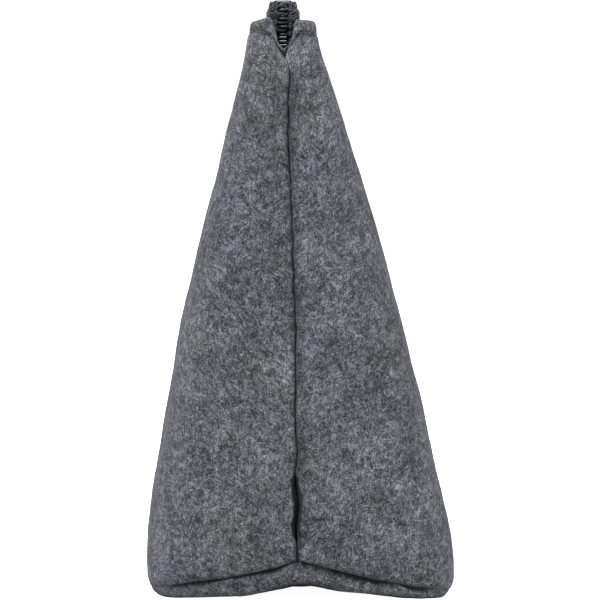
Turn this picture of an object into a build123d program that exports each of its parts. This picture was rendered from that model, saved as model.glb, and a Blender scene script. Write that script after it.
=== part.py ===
from build123d import *
from math import atan2, cos, hypot, radians, sin
import os

os.makedirs("parts", exist_ok=True)

# Soft felt glasses pouch: A-shaped in end view, zipper along the ridge, boxed
# bottom corners. Millimetres, +Z up, +X along the zipper, -Y is the front wall.
# Origin: centre of the base on the surface it stands on.

FRONT, BACK = -1, 1     # sign of Y, for each wall and half of the zipper
LEFT, RIGHT = -1, 1     # sign of X, for each end
ENDS = (LEFT, RIGHT)

# ---------------------------------------------------------------- felt sizes
FELT_T = 2.6            # felt thickness
RIDGE_Z = 92.4          # height of the felt's top edge
FOLD_Z = 2.7            # height of the fold line between wall and base
BASE_FILLET = 3.3       # outer radius where the walls turn under
INNER_FILLET = 1.5      # the same turn on the inside
CORNER_R = 8.0          # rounding of the upper corners in front view
SEAM_GAP = 0.04         # half gap left between two sewn edges

# Sections of the felt: height, half depth, half length, corner radius
OUTER = [
    (0.0, 24.6, 76.2, 9.5),
    (20.0, 22.7, 79.2, 10.0),
    (45.0, 17.45, 84.8, 9.6),
    (68.0, 11.55, 90.0, 8.2),
    (83.0, 7.2, 93.3, 6.2),
    (RIDGE_Z, 4.98, 95.2, 4.6),
]
INNER = [
    (FELT_T, 21.8, 73.9, 7.0),
    (20.0, 20.05, 76.6, 7.4),
    (45.0, 14.8, 82.2, 7.0),
    (68.0, 8.9, 87.4, 5.6),
    (83.0, 4.6, 90.7, 3.6),
    (RIDGE_Z + 1.0, 2.62, 92.8, 2.3),
]
HALF_DEPTH, HALF_LENGTH = 1, 2      # columns of the two tables
TOP_HALF_LENGTH = OUTER[-1][HALF_LENGTH]

# Edge of the base in end view, over each corner seam and long fold: y, z
BASE_EDGE = [
    (-40, FOLD_Z), (-23.0, FOLD_Z), (-16.0, 2.8), (-9.5, 3.5), (-4.5, 4.5),
    (0.0, 6.1),
    (4.5, 4.7), (9.5, 3.6), (16.0, 2.8), (23.0, FOLD_Z), (40, FOLD_Z),
]

# seam allowances turned inside at the side seams
ALLOWANCE = 3.6         # reach in from the inside of the felt
ALLOWANCE_T = 2.0
FLAP_BITE = 1.2         # how far a flap runs into the felt
FLAP_OVERLAP = 0.5      # how far it crosses the seam plane before it is trimmed
FLAP_HEIGHTS = (9.4, 30.0, 55.0, 78.0, 85.6)

# side seam grooves: a V that follows these stations (half length, height)
SEAM_GROOVE_LINE = ((77.2, 7.0), (94.2, 88.0))
SEAM_GROOVE_IN = 1.0
SEAM_GROOVE_OUT = 3.0
SEAM_GROOVE_HALF_W = 1.9

# ---------------------------------------------------------------- zipper sizes
COIL_TOP = 95.4
COIL_LOW = 93.9
COIL_H = COIL_TOP - COIL_LOW
COIL_BACK = 2.05        # how far a loop reaches back from the middle
COIL_HEAD = 0.70        # how far its head crosses the middle
WIRE = 0.45
LOOP_T = 0.38
LOOP_OVERLAP = 0.02     # how far the back bar of a loop runs into its neighbours
PITCH = 1.25
CORD_R = 0.22
CORD_Y = 1.34
LOCK_THREAD_R = 0.12
LOCK_THREAD_Y = 1.45
LOCK_THREAD_GAP = 0.01

RIDGE_Y = -2.64         # sideways drift of the zipper (the walls lean)
ZIP_END = 87.9          # where the zipper starts to turn down at each end
TURN_R = 3.0            # radius of that turn at the top of the chain
TURN_DEG = 86.0
TURN_A = radians(TURN_DEG)
TURN_Z = COIL_TOP - TURN_R          # height of the turn's centre
DROP = 4.5              # how far it then runs down between the walls

TAPE_T = 0.55
TAPE_TOP = 93.85
TAPE_EDGE = 0.90        # inner edge of each tape from the middle
TAPE_OUT = 2.60
TAPE_BEVEL = 0.25
TAPE_LOW = 83.6         # lower edge of the tape inside the pouch

# ---------------------------------------------------------------- slider sizes
SLIDE_X = -76.5         # slider centre when the pouch is shut
BODY_L = 9.0
BODY_LEFT_X = SLIDE_X - BODY_L / 2
BODY_RIGHT_X = SLIDE_X + BODY_L / 2
TOP_PLATE_Z = 95.78
TOP_PLATE_T = 1.0
PLATE_TOP = TOP_PLATE_Z + TOP_PLATE_T
LOW_PLATE_Z = 92.05
LOW_PLATE_T = 1.1
PRONG_X = SLIDE_X + 2.0
PIVOT_Z = 97.88
PULL_L = 19.0           # pivot to the far end of the pull
PULL_HEEL = 0.8         # length of the fork beyond the pivot
PULL_W = 5.0
PULL_T = 1.1
PULL_EYE_R = 1.3
PULL_TILT = radians(2.0)

# ---------------------------------------------------------------- sewing sizes
STITCH_PITCH = 3.0
STITCH_L = 2.35
THREAD_R = 0.20
TOPSTITCH_Z = 89.9
TOPSTITCH_HALF_L = 85.0
GROOVE_R = 0.42         # radius of the groove the stitches lie in
GROOVE_HALF_L = 86.5

SIDE_SEAM_LOW, SIDE_SEAM_HIGH = 9.8, 85.2
SIDE_SEAM_INSET = 0.9
SIDE_THREAD_W = 0.4
CORNER_SEAM_INSET = 0.62
CORNER_STITCH_HALF_L = 1.1
# Runs of corner stitches in end view: y and z of the start, y and z of the end
CORNER_SEAM_RUNS = (
    (-10.5, 4.5, -4.5, 5.0),
    (-4.5, 5.0, -0.5, 6.4),
    (0.5, 6.4, 4.5, 5.1),
    (4.5, 5.1, 10.5, 4.5),
)


def lean(z):
    """Y of the pouch's middle at a height."""
    return RIDGE_Y * z / COIL_TOP


def felt_at(table, z, column):
    """A column of OUTER or INNER, interpolated at a height."""
    for lower, upper in zip(table, table[1:]):
        if z <= upper[0]:
            t = max(0.0, (z - lower[0]) / (upper[0] - lower[0]))
            return lower[column] + (upper[column] - lower[column]) * t
    return table[-1][column]


LEAN_A = atan2(-RIDGE_Y, COIL_TOP)
TOPSTITCH_HALF_DEPTH = felt_at(OUTER, TOPSTITCH_Z, HALF_DEPTH)
# The plane both side seams lie in. Its normal points to the front.
SEAM_PLANE = Plane(
    origin=(0, 0, 0), x_dir=(1, 0, 0), z_dir=(0, -cos(LEAN_A), -sin(LEAN_A))
)


# ---------------------------------------------------------------- shaping tools
def felt_form(table, bottom_fillet):
    """Solid lofted through the sections of OUTER or INNER."""
    with BuildPart() as form:
        for z, half_depth, half_length, radius in table:
            with BuildSketch(Plane(origin=(0, lean(z), z))):
                RectangleRounded(2 * half_length, 2 * half_depth, radius)
        loft()
        fillet(form.faces().sort_by(Axis.Z)[0].edges(), bottom_fillet)
    return form.part


def corner_trim():
    """Everything beyond the rounded upper corners, in front view."""
    block = 14
    x = TOP_HALF_LENGTH - CORNER_R
    z = RIDGE_Z - CORNER_R
    with BuildPart() as trim:
        for end in ENDS:
            with BuildSketch(Plane.XZ):
                with Locations((end * (x + block / 2), z + block / 2)):
                    Rectangle(block, block)
                with Locations((end * x, z)):
                    Circle(CORNER_R, mode=Mode.SUBTRACT)
            extrude(amount=30, both=True)
    return trim.part


def end_notch():
    """The V notch at each end where the zipper dives between the walls."""
    top, bottom = 94.0, 86.8
    half_width = 2.8
    with BuildPart() as notch:
        for end in ENDS:
            with BuildSketch(Plane.YZ.offset(end * 91.0)):
                with BuildLine():
                    Polyline(
                        (RIDGE_Y - half_width, top),
                        (lean(bottom), bottom),
                        (RIDGE_Y + half_width, top),
                        close=True,
                    )
                make_face()
            extrude(amount=8, both=True)
    return notch.part


def below_seams():
    """Everything below the corner seams and the two long folds."""
    with BuildPart() as block:
        with BuildSketch(Plane.YZ):
            with BuildLine():
                Polyline(*BASE_EDGE, (40, -6), (-40, -6), close=True)
            make_face()
        extrude(amount=120, both=True)
    return block.part


def seam_groove():
    """The groove that each side seam draws on the outside."""
    with BuildPart() as groove:
        for end in ENDS:
            for x, z in SEAM_GROOVE_LINE:
                with BuildSketch(Plane(origin=(end * x, lean(z), z), z_dir=(0, 0, 1))):
                    with BuildLine():
                        Polyline(
                            (-end * SEAM_GROOVE_IN, 0),
                            (end * SEAM_GROOVE_OUT, -SEAM_GROOVE_HALF_W),
                            (end * SEAM_GROOVE_OUT, SEAM_GROOVE_HALF_W),
                            close=True,
                        )
                    make_face()
            loft()
    return groove.part


def base_arch():
    """The sloping round hollow under each end of the base."""
    with BuildPart() as arch:
        for end in ENDS:
            with BuildSketch(
                Plane(origin=(end * 46, 0, -12.25), x_dir=(0, 1, 0), z_dir=(end * 30, 0, 2.4))
            ):
                Circle(12.0)
            extrude(amount=40)
    return arch.part


def topstitch_groove():
    """The groove the topstitching draws below the top edge of each wall."""
    with BuildPart() as groove:
        for side in (FRONT, BACK):
            with BuildSketch(Plane.YZ):
                with Locations((lean(TOPSTITCH_Z) + side * TOPSTITCH_HALF_DEPTH, TOPSTITCH_Z)):
                    Circle(GROOVE_R)
            extrude(amount=GROOVE_HALF_L, both=True)
    return groove.part


def wall_half(side):
    """The space on one side of the seam plane, short of it by the seam gap."""
    low, high, reach = -10, 120, 60
    with BuildPart() as half:
        with BuildSketch(Plane.YZ):
            with BuildLine():
                Polyline(
                    (lean(low) + side * SEAM_GAP, low),
                    (lean(high) + side * SEAM_GAP, high),
                    (side * reach, high),
                    (side * reach, low),
                    close=True,
                )
            make_face()
        extrude(amount=130, both=True)
    return half.part


def side_flaps(side):
    """Side seam allowances of one wall, drawn in the seam plane."""
    inside = [(z, felt_at(INNER, z, HALF_LENGTH)) for z in FLAP_HEIGHTS]
    with BuildPart() as flaps:
        for end in ENDS:
            with BuildSketch(SEAM_PLANE.offset(side * FLAP_OVERLAP)):
                with BuildLine():
                    Polyline(
                        *[(end * (x + FLAP_BITE), z) for z, x in inside],
                        *[(end * (x - ALLOWANCE), z) for z, x in reversed(inside)],
                        close=True,
                    )
                make_face()
            extrude(amount=-side * (FLAP_OVERLAP + ALLOWANCE_T))
    return flaps.part


OUTER_FORM = felt_form(OUTER, BASE_FILLET)
INNER_FORM = felt_form(INNER, INNER_FILLET)
BELOW_SEAMS = below_seams()
WALL_CUTS = (INNER_FORM, corner_trim(), end_notch(), seam_groove(), topstitch_groove())


# ---------------------------------------------------------------- felt shell
def wall_panel(side):
    with BuildPart() as panel:
        add(OUTER_FORM)
        for cut in WALL_CUTS:
            add(cut, mode=Mode.SUBTRACT)
        add(side_flaps(side))
        add(BELOW_SEAMS, mode=Mode.SUBTRACT)
        add(wall_half(side), mode=Mode.INTERSECT)
    return panel.part


def base_panel():
    with BuildPart() as panel:
        add(OUTER_FORM)
        add(INNER_FORM, mode=Mode.SUBTRACT)
        add(BELOW_SEAMS, mode=Mode.INTERSECT)
        add(base_arch(), mode=Mode.SUBTRACT)
    return panel.part


# ---------------------------------------------------------------- zipper tapes
def turned_plane(end):
    """Plane at the turn's centre, facing on down the zipper. Y is out of the
    zipper's face. X is towards the back at the right end and towards the front
    at the left end."""
    return Plane(
        origin=(end * ZIP_END, RIDGE_Y, TURN_Z),
        x_dir=(0, end, 0),
        z_dir=(end * cos(TURN_A), 0, -sin(TURN_A)),
    )


def tape_profile(side, middle, top):
    """Flat part of a tape in section, about a given middle and top."""
    return [
        (middle + side * TAPE_EDGE, top - TAPE_T),
        (middle + side * TAPE_EDGE, top),
        (middle + side * (TAPE_OUT - TAPE_BEVEL), top),
        (middle + side * TAPE_OUT, top - TAPE_BEVEL),
        (middle + side * TAPE_OUT, top - TAPE_T),
    ]


def zipper_tape(side):
    """A strip under the loops, folded down inside its wall, and turned down at
    both ends."""
    profile = tape_profile(side, RIDGE_Y, TAPE_TOP)
    with BuildPart() as strip:
        with BuildSketch(Plane.YZ):
            with BuildLine():
                Polyline(
                    *profile[:4],
                    (RIDGE_Y + side * (TAPE_OUT - 0.04), RIDGE_Z - 0.1),
                    (lean(TAPE_LOW) + side * 3.75, TAPE_LOW),
                    (lean(TAPE_LOW) + side * 3.2, TAPE_LOW),
                    (RIDGE_Y + side * (TAPE_OUT - TAPE_T), RIDGE_Z - 0.2),
                    (RIDGE_Y + side * (TAPE_OUT - TAPE_T), TAPE_TOP - TAPE_T),
                    close=True,
                )
            make_face()
        extrude(amount=ZIP_END, both=True)
        for end in ENDS:
            with BuildSketch(Plane.YZ.offset(end * ZIP_END)):
                with BuildLine():
                    Polyline(*profile, close=True)
                make_face()
            revolve(
                axis=Axis((end * ZIP_END, 0, TURN_Z), (0, end, 0)),
                revolution_arc=TURN_DEG,
            )
            with BuildSketch(turned_plane(end)):
                with BuildLine():
                    Polyline(*tape_profile(side, 0, TAPE_TOP - TURN_Z), close=True)
                make_face()
            extrude(amount=DROP)
    return strip.part


# ---------------------------------------------------------------- zipper coils
MID_R = TURN_R - COIL_H / 2         # radius of the turn at mid height of the loops
TURN_RUN = MID_R * TURN_A
CHAIN_START = SLIDE_X - 0.6         # the loops begin inside the slider
CHAIN_END = ZIP_END + TURN_RUN + DROP - 0.3


def chain_place(distance):
    """Location at a distance along the chain, on the ridge line at mid height of
    the loops. Z runs along the chain, X to the back and Y up from the chain."""
    past = max(0.0, distance - ZIP_END)
    angle = min(past, TURN_RUN) / MID_R
    rest = max(0.0, past - TURN_RUN)
    return Plane(
        origin=(
            min(distance, ZIP_END) + MID_R * sin(angle) + rest * cos(angle),
            RIDGE_Y,
            TURN_Z + MID_R * cos(angle) - rest * sin(angle),
        ),
        x_dir=(0, 1, 0),
        z_dir=(cos(angle), 0, -sin(angle)),
    ).location


def zipper_coil(side):
    """One row of loops. Each is a ring standing across the chain, joined to the
    next along its back. The back row is half a pitch on from the front row."""
    length = COIL_BACK + COIL_HEAD
    middle = side * (COIL_BACK - COIL_HEAD) / 2
    with BuildPart() as loop:
        with BuildSketch(Plane.XY):
            with Locations((middle, 0)):
                Rectangle(length, COIL_H)
            with Locations((middle, 0)):
                Rectangle(length - 2 * WIRE, COIL_H - 2 * WIRE, mode=Mode.SUBTRACT)
        extrude(amount=LOOP_T / 2, both=True)
        with BuildSketch(Plane.XY):
            with Locations((side * (COIL_BACK - WIRE / 2), 0)):
                Rectangle(WIRE, COIL_H)
        extrude(amount=PITCH / 2 + LOOP_OVERLAP, both=True)

    phase = PITCH / 2 if side == BACK else 0.0
    count = int((CHAIN_END - CHAIN_START) / PITCH)
    places = [chain_place(CHAIN_START + phase + PITCH * (i + 0.5)) for i in range(count)]
    with BuildPart() as row:
        with Locations(*places):
            add(loop.part)
    return row.part


def chain_rod(offset, up, radius):
    """Rod along the chain at a side offset and a height above its middle."""
    y = RIDGE_Y + offset
    path_r = MID_R + up
    run_down = DROP - 0.5

    def on_turn(angle):
        return Vector(ZIP_END + path_r * sin(angle), y, TURN_Z + path_r * cos(angle))

    turn_end = on_turn(TURN_A)
    with BuildLine() as path:
        Line((CHAIN_START + 0.1, y, TURN_Z + path_r), on_turn(0))
        ThreePointArc(on_turn(0), on_turn(TURN_A / 2), turn_end)
        Line(turn_end, turn_end + Vector(cos(TURN_A), 0, -sin(TURN_A)) * run_down)
    with BuildPart() as rod:
        with BuildSketch(Plane(origin=path.line @ 0, z_dir=(1, 0, 0))):
            Circle(radius)
        sweep(path=path.line)
    return rod.part


def coil_cord(side):
    """The cord that runs inside the loops."""
    return chain_rod(side * CORD_Y, 0.0, CORD_R)


def coil_lock_thread(side):
    """The thread that runs along the top of the loops."""
    up = COIL_H / 2 + LOCK_THREAD_R + LOCK_THREAD_GAP
    return chain_rod(side * LOCK_THREAD_Y, up, LOCK_THREAD_R)


def top_stop(side):
    """Clip over the inner edge of one tape, just left of the slider."""
    clearance = 0.03
    slot_w = 2.0
    tape_mid = TAPE_TOP - TAPE_T / 2
    with BuildPart() as clip:
        with BuildSketch(Plane.YZ.offset(BODY_LEFT_X - 1.3)):
            with Locations((RIDGE_Y + side * 1.32, tape_mid + 0.1)):
                RectangleRounded(1.2, 2.3, 0.35)
            with Locations((RIDGE_Y + side * (TAPE_EDGE + slot_w / 2 - clearance), tape_mid)):
                Rectangle(slot_w, TAPE_T + 2 * clearance, mode=Mode.SUBTRACT)
        extrude(amount=0.9, both=True)
    return clip.part


# ---------------------------------------------------------------- slider
def slider_body():
    half_w = 3.1            # half width of the upper plate at the diamond end
    right_half_w = 2.85     # and at its right end
    taper_x = SLIDE_X + 0.5
    flange_z = 94.0
    diamond_half_w = 0.82
    with BuildPart() as body:
        # upper plate, wider at the diamond end
        with BuildSketch(Plane.XY.offset(TOP_PLATE_Z)):
            with BuildLine():
                Polyline(
                    (BODY_LEFT_X + 0.9, RIDGE_Y - half_w),
                    (taper_x, RIDGE_Y - half_w),
                    (BODY_RIGHT_X, RIDGE_Y - right_half_w),
                    (BODY_RIGHT_X, RIDGE_Y + right_half_w),
                    (taper_x, RIDGE_Y + half_w),
                    (BODY_LEFT_X + 0.9, RIDGE_Y + half_w),
                    (BODY_LEFT_X, RIDGE_Y + 2.2),
                    (BODY_LEFT_X, RIDGE_Y - 2.2),
                    close=True,
                )
            make_face()
        extrude(amount=TOP_PLATE_T)
        chamfer(body.faces().sort_by(Axis.Z)[-1].edges(), 0.3)
        # side flanges that keep the loops in the channel
        for side in (FRONT, BACK):
            with BuildSketch(Plane.XY.offset(flange_z)):
                with BuildLine():
                    Polyline(
                        (BODY_LEFT_X + 1.0, RIDGE_Y + side * half_w),
                        (taper_x, RIDGE_Y + side * half_w),
                        (BODY_RIGHT_X, RIDGE_Y + side * right_half_w),
                        (BODY_RIGHT_X, RIDGE_Y + side * 2.25),
                        (taper_x, RIDGE_Y + side * 2.4),
                        (BODY_LEFT_X + 1.0, RIDGE_Y + side * 2.4),
                        close=True,
                    )
                make_face()
            extrude(amount=TOP_PLATE_Z - flange_z + 0.05)
        # lower plate, between the folded-down tapes
        with BuildSketch(Plane.XY.offset(LOW_PLATE_Z)):
            with Locations((SLIDE_X, RIDGE_Y)):
                RectangleRounded(BODY_L, 3.9, 0.8)
        extrude(amount=LOW_PLATE_T)
        # diamond that parts the loops and joins the plates
        with BuildSketch(Plane.XY.offset(LOW_PLATE_Z + 0.5)):
            with BuildLine():
                Polyline(
                    (BODY_LEFT_X + 0.3, RIDGE_Y),
                    (BODY_LEFT_X + 1.1, RIDGE_Y - diamond_half_w),
                    (BODY_LEFT_X + 1.9, RIDGE_Y - diamond_half_w),
                    (BODY_LEFT_X + 3.5, RIDGE_Y),
                    (BODY_LEFT_X + 1.9, RIDGE_Y + diamond_half_w),
                    (BODY_LEFT_X + 1.1, RIDGE_Y + diamond_half_w),
                    close=True,
                )
            make_face()
        extrude(amount=TOP_PLATE_Z - LOW_PLATE_Z)
        # well for the locking prong, over the middle of the chain
        with BuildSketch(Plane.XY.offset(TOP_PLATE_Z - 0.5)):
            with Locations((PRONG_X, RIDGE_Y)):
                Rectangle(0.8, 1.0)
        extrude(amount=TOP_PLATE_T + 1, mode=Mode.SUBTRACT)
    return body.part


def slider_crown():
    """The bridge over the upper plate that holds the pull and the lock spring."""
    shoulder_z = PLATE_TOP + 1.5
    top_z = PLATE_TOP + 2.35
    with BuildPart() as crown:
        with BuildSketch(Plane.XZ.offset(-RIDGE_Y)):
            with BuildLine():
                Polyline(
                    (SLIDE_X - 3.5, PLATE_TOP),
                    (SLIDE_X - 3.2, shoulder_z),
                    (SLIDE_X - 2.0, top_z),
                    (SLIDE_X + 2.0, top_z),
                    (SLIDE_X + 3.2, shoulder_z),
                    (SLIDE_X + 3.5, PLATE_TOP),
                    close=True,
                )
            make_face()
            with Locations((SLIDE_X, PLATE_TOP + 0.80)):
                Rectangle(5.2, 1.62, mode=Mode.SUBTRACT)
        extrude(amount=1.2, both=True)
        fillet(crown.edges().filter_by(Axis.Y).group_by(Axis.Z)[-1], 0.6)
    return crown.part


def slider_lock_spring():
    """A leaf under the crown with a prong that drops into the plate's well."""
    with BuildPart() as spring:
        with BuildSketch(Plane.XY.offset(PLATE_TOP + 0.02)):
            with Locations((SLIDE_X + 0.2, RIDGE_Y)):
                Rectangle(4.2, 0.8)
        extrude(amount=0.22)
        with BuildSketch(Plane.XY.offset(TOP_PLATE_Z + 0.1)):
            with Locations((PRONG_X, RIDGE_Y)):
                Rectangle(0.5, 0.7)
        extrude(amount=TOP_PLATE_T)
    return spring.part


def slider_pull():
    """A forked tab lying towards the left end, with a cross pin under the crown."""
    pivot = (SLIDE_X, RIDGE_Y, PIVOT_Z)
    pull_plane = Plane(
        origin=pivot,
        x_dir=(-cos(PULL_TILT), 0, -sin(PULL_TILT)),
        z_dir=(-sin(PULL_TILT), 0, cos(PULL_TILT)),
    )
    with BuildPart() as pull:
        with BuildSketch(pull_plane.offset(-PULL_T / 2)):
            with Locations(((PULL_L - PULL_HEEL) / 2, 0)):
                RectangleRounded(PULL_L + PULL_HEEL, PULL_W, 0.75)
            with Locations((1.6, 0)):
                Rectangle(7.0, 2.8, mode=Mode.SUBTRACT)
            with Locations((PULL_L - 3.0, 0)):
                Circle(PULL_EYE_R, mode=Mode.SUBTRACT)
        extrude(amount=PULL_T)
        with BuildSketch(Plane(origin=pivot, z_dir=(0, 1, 0))):
            Circle(0.45)
        extrude(amount=2.0, both=True)
    return pull.part


# ---------------------------------------------------------------- sewing thread
def topstitch(side):
    """A row of stitches sunk in the outside of a wall below its top edge."""
    y = lean(TOPSTITCH_Z) + side * TOPSTITCH_HALF_DEPTH
    count = int(2 * TOPSTITCH_HALF_L / STITCH_PITCH)
    first = -(count - 1) * STITCH_PITCH / 2
    with BuildPart() as stitch:
        with BuildSketch(Plane(origin=(0, y, TOPSTITCH_Z), z_dir=(1, 0, 0))):
            Circle(THREAD_R)
        extrude(amount=STITCH_L / 2, both=True)
    with BuildPart() as row:
        with Locations(*[(first + i * STITCH_PITCH, 0, 0) for i in range(count)]):
            add(stitch.part)
    return row.part


def side_seam_thread(end):
    """The thread that closes a side seam, laid in the gap between the flaps."""
    x_low = felt_at(INNER, SIDE_SEAM_LOW, HALF_LENGTH) - SIDE_SEAM_INSET
    x_high = felt_at(INNER, SIDE_SEAM_HIGH, HALF_LENGTH) - SIDE_SEAM_INSET
    out, rise = x_high - x_low, SIDE_SEAM_HIGH - SIDE_SEAM_LOW
    count = int(hypot(out, rise) / STITCH_PITCH)
    slope = atan2(out, rise)
    along = (end * sin(slope), -sin(LEAN_A), cos(slope))
    with BuildPart() as row:
        for i in range(count):
            t = (i + 0.5) / count
            x = end * (x_low + out * t)
            z = SIDE_SEAM_LOW + rise * t
            with BuildSketch(Plane(origin=(x, lean(z), z), x_dir=(0, 1, 0), z_dir=along)):
                Rectangle(2 * SEAM_GAP - 0.02, SIDE_THREAD_W)
            extrude(amount=STITCH_L / 2, both=True)
    return row.part


def corner_seam_thread(end):
    """The thread that closes a boxed corner, laid along the inside of the seam."""
    with BuildPart() as row:
        for y0, z0, y1, z1 in CORNER_SEAM_RUNS:
            along = (0, y1 - y0, z1 - z0)
            count = max(1, int(hypot(y1 - y0, z1 - z0) / STITCH_PITCH))
            for i in range(count):
                t = (i + 0.5) / count
                y, z = y0 + (y1 - y0) * t, z0 + (z1 - z0) * t
                x = end * (felt_at(INNER, z, HALF_LENGTH) - CORNER_SEAM_INSET)
                with BuildSketch(Plane(origin=(x, y, z), x_dir=(1, 0, 0), z_dir=along)):
                    Circle(THREAD_R)
                extrude(amount=CORNER_STITCH_HALF_L, both=True)
    return row.part


# ---------------------------------------------------------------- export
pieces = {
    "base_panel": base_panel(),
    "slider_body": slider_body(),
    "slider_crown": slider_crown(),
    "slider_lock_spring": slider_lock_spring(),
    "slider_pull": slider_pull(),
}
for side, word in ((FRONT, "front"), (BACK, "back")):
    pieces[f"{word}_panel"] = wall_panel(side)
    pieces[f"zipper_tape_{word}"] = zipper_tape(side)
    pieces[f"zipper_coil_{word}"] = zipper_coil(side)
    pieces[f"coil_cord_{word}"] = coil_cord(side)
    pieces[f"coil_lock_thread_{word}"] = coil_lock_thread(side)
    pieces[f"top_stop_{word}"] = top_stop(side)
    pieces[f"topstitch_{word}"] = topstitch(side)
for end, word in ((RIGHT, "right"), (LEFT, "left")):
    pieces[f"side_seam_thread_{word}"] = side_seam_thread(end)
    pieces[f"corner_seam_thread_{word}"] = corner_seam_thread(end)

for name, piece in pieces.items():
    piece.label = name
    export_step(piece, f"parts/{name}.step")
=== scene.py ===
import itertools
import math
from types import SimpleNamespace

import bmesh
import bpy
import numpy as np
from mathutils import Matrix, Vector


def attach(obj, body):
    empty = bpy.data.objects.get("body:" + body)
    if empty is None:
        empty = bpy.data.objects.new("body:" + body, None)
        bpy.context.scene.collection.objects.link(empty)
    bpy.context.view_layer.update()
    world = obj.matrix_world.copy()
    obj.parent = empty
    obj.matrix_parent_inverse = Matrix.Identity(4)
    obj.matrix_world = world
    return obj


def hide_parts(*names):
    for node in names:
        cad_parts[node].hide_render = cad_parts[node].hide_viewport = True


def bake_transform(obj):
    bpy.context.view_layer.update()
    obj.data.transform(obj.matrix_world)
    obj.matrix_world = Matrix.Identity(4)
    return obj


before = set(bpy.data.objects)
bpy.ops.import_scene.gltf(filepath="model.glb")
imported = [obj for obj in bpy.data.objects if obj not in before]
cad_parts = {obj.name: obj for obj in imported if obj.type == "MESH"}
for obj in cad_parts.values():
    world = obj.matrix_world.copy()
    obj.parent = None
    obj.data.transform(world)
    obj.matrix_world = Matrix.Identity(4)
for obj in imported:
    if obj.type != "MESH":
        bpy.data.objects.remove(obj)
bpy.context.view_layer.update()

MM = 0.001
PI = math.pi
FRONT, BACK = -1, 1
LEFT, RIGHT = -1, 1
SIDE_NAME = {FRONT: "front", BACK: "back"}
END_NAME = {LEFT: "left", RIGHT: "right"}
QUARTERS = [(side, end) for side in (FRONT, BACK) for end in (LEFT, RIGHT)]


# ------------------------------------------------------------------ numbers
def curve(stations, values):
    """A smooth curve through the points that never overshoots them."""
    stations, values = np.array(stations, float), np.array(values, float)
    gaps = np.diff(stations)
    slopes = np.diff(values) / gaps
    tangents = np.zeros_like(stations)
    for i in range(1, len(stations) - 1):
        if slopes[i - 1] * slopes[i] > 0:
            before = 2 * gaps[i] + gaps[i - 1]
            after = gaps[i] + 2 * gaps[i - 1]
            tangents[i] = (before + after) / (before / slopes[i - 1] + after / slopes[i])
    tangents[0], tangents[-1] = slopes[0], slopes[-1]

    def value_at(x):
        x = np.clip(np.asarray(x, float), stations[0], stations[-1])
        i = np.clip(np.searchsorted(stations, x, side="right") - 1, 0, len(stations) - 2)
        t = (x - stations[i]) / gaps[i]
        return (
            values[i] * (1 + 2 * t) * (1 - t) ** 2
            + tangents[i] * gaps[i] * t * (1 - t) ** 2
            + values[i + 1] * t * t * (3 - 2 * t)
            + tangents[i + 1] * gaps[i] * t * t * (t - 1)
        )

    return value_at


def smooth(start, stop, x):
    """0 before start, 1 after stop, and an S between."""
    t = np.clip((np.asarray(x, float) - start) / (stop - start), 0, 1)
    return t * t * (3 - 2 * t)


def bell(x, width):
    return np.exp(-((x / width) ** 2))


def squared_off(wave, power):
    """A sine or cosine made fuller, so that a loop of it is a rounded rectangle."""
    return np.sign(wave) * np.abs(wave) ** power


def lattice(i, j, k, seed):
    """A repeatable random number in [-1, 1] for each whole-numbered point."""
    mixed = (
        i.astype(np.int64) * 374761393
        + j.astype(np.int64) * 668265263
        + k.astype(np.int64) * 2147483629
        + seed * 1274126177
    ) & 0xFFFFFFFF
    mixed = ((mixed ^ (mixed >> 13)) * 1274126177) & 0xFFFFFFFF
    mixed = ((mixed ^ (mixed >> 15)) * 668265263) & 0xFFFFFFFF
    return ((mixed ^ (mixed >> 16)) & 0xFFFF) / 32767.5 - 1.0


def noise(points, grain, seed):
    """Smooth value noise in [-1, 1]; points is (..., 3) and both it and grain are in mm."""
    scaled = points / grain
    cell = np.floor(scaled)
    t = scaled - cell
    far = t * t * t * (t * (t * 6 - 15) + 10)
    weights = (1 - far, far)
    cell = cell.astype(np.int64)
    total = 0
    for i, j, k in itertools.product((0, 1), repeat=3):
        weight = weights[i][..., 0] * weights[j][..., 1] * weights[k][..., 2]
        total = total + weight * lattice(cell[..., 0] + i, cell[..., 1] + j, cell[..., 2] + k, seed)
    return total


def unit(vectors):
    return vectors / (np.linalg.norm(vectors, axis=-1, keepdims=True) + 1e-12)


def travelled(points, axis=0):
    """Distance covered from point to point, starting from 0."""
    steps = np.linalg.norm(np.diff(points, axis=axis), axis=-1)
    return np.insert(np.cumsum(steps, axis=axis), 0, 0.0, axis=axis)


def interpolate(wanted, stations, table):
    """Rows of a table read off between its stations."""
    return np.stack([np.interp(wanted, stations, column) for column in table.T], 1)


# ------------------------------------------------------------------ the pouch's form
FELT = 2.6  # thickness
TOP = 92.4
FOLD = 1.9  # height where walls and base meet along the long sides
RIDGE_Y = -2.64  # the zipper's middle line
LIP_RADIUS = 0.92
FLAP_LENGTH = 3.6
STITCH_PITCH = 3.0
STITCH_DROP = 2.2  # topstitching below the top edge, along the sides
SHADE_LIMIT = 1.16  # largest value of the attribute that carries the painted shade

# Curves against height
WIDTH_Z = [
    6.1, 15.7, 22, 28.5, 34.9, 41.3, 47.7, 54.1, 60.5, 66.9, 73.3, 79.7, 86.1, 89.9, TOP,
]
half_width = {
    FRONT: curve(
        [0, 1.6, 3.4] + WIDTH_Z,
        [24.05, 24.1, 24.5, 24.6, 23.25, 21.95, 20.7, 19.3, 18.0,
         16.42, 14.95, 13.35, 11.6, 9.85, 8.0, 6.2, 5.38, 4.95],
    ),
    BACK: curve(
        [0, 1.6, 3.4] + WIDTH_Z,
        [25.05, 25.05, 25.0, 24.85, 23.5, 22.3, 21.1, 19.65, 18.3,
         16.65, 15.05, 13.4, 11.6, 9.85, 8.0, 6.3, 5.40, 4.95],
    ),
}
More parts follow.
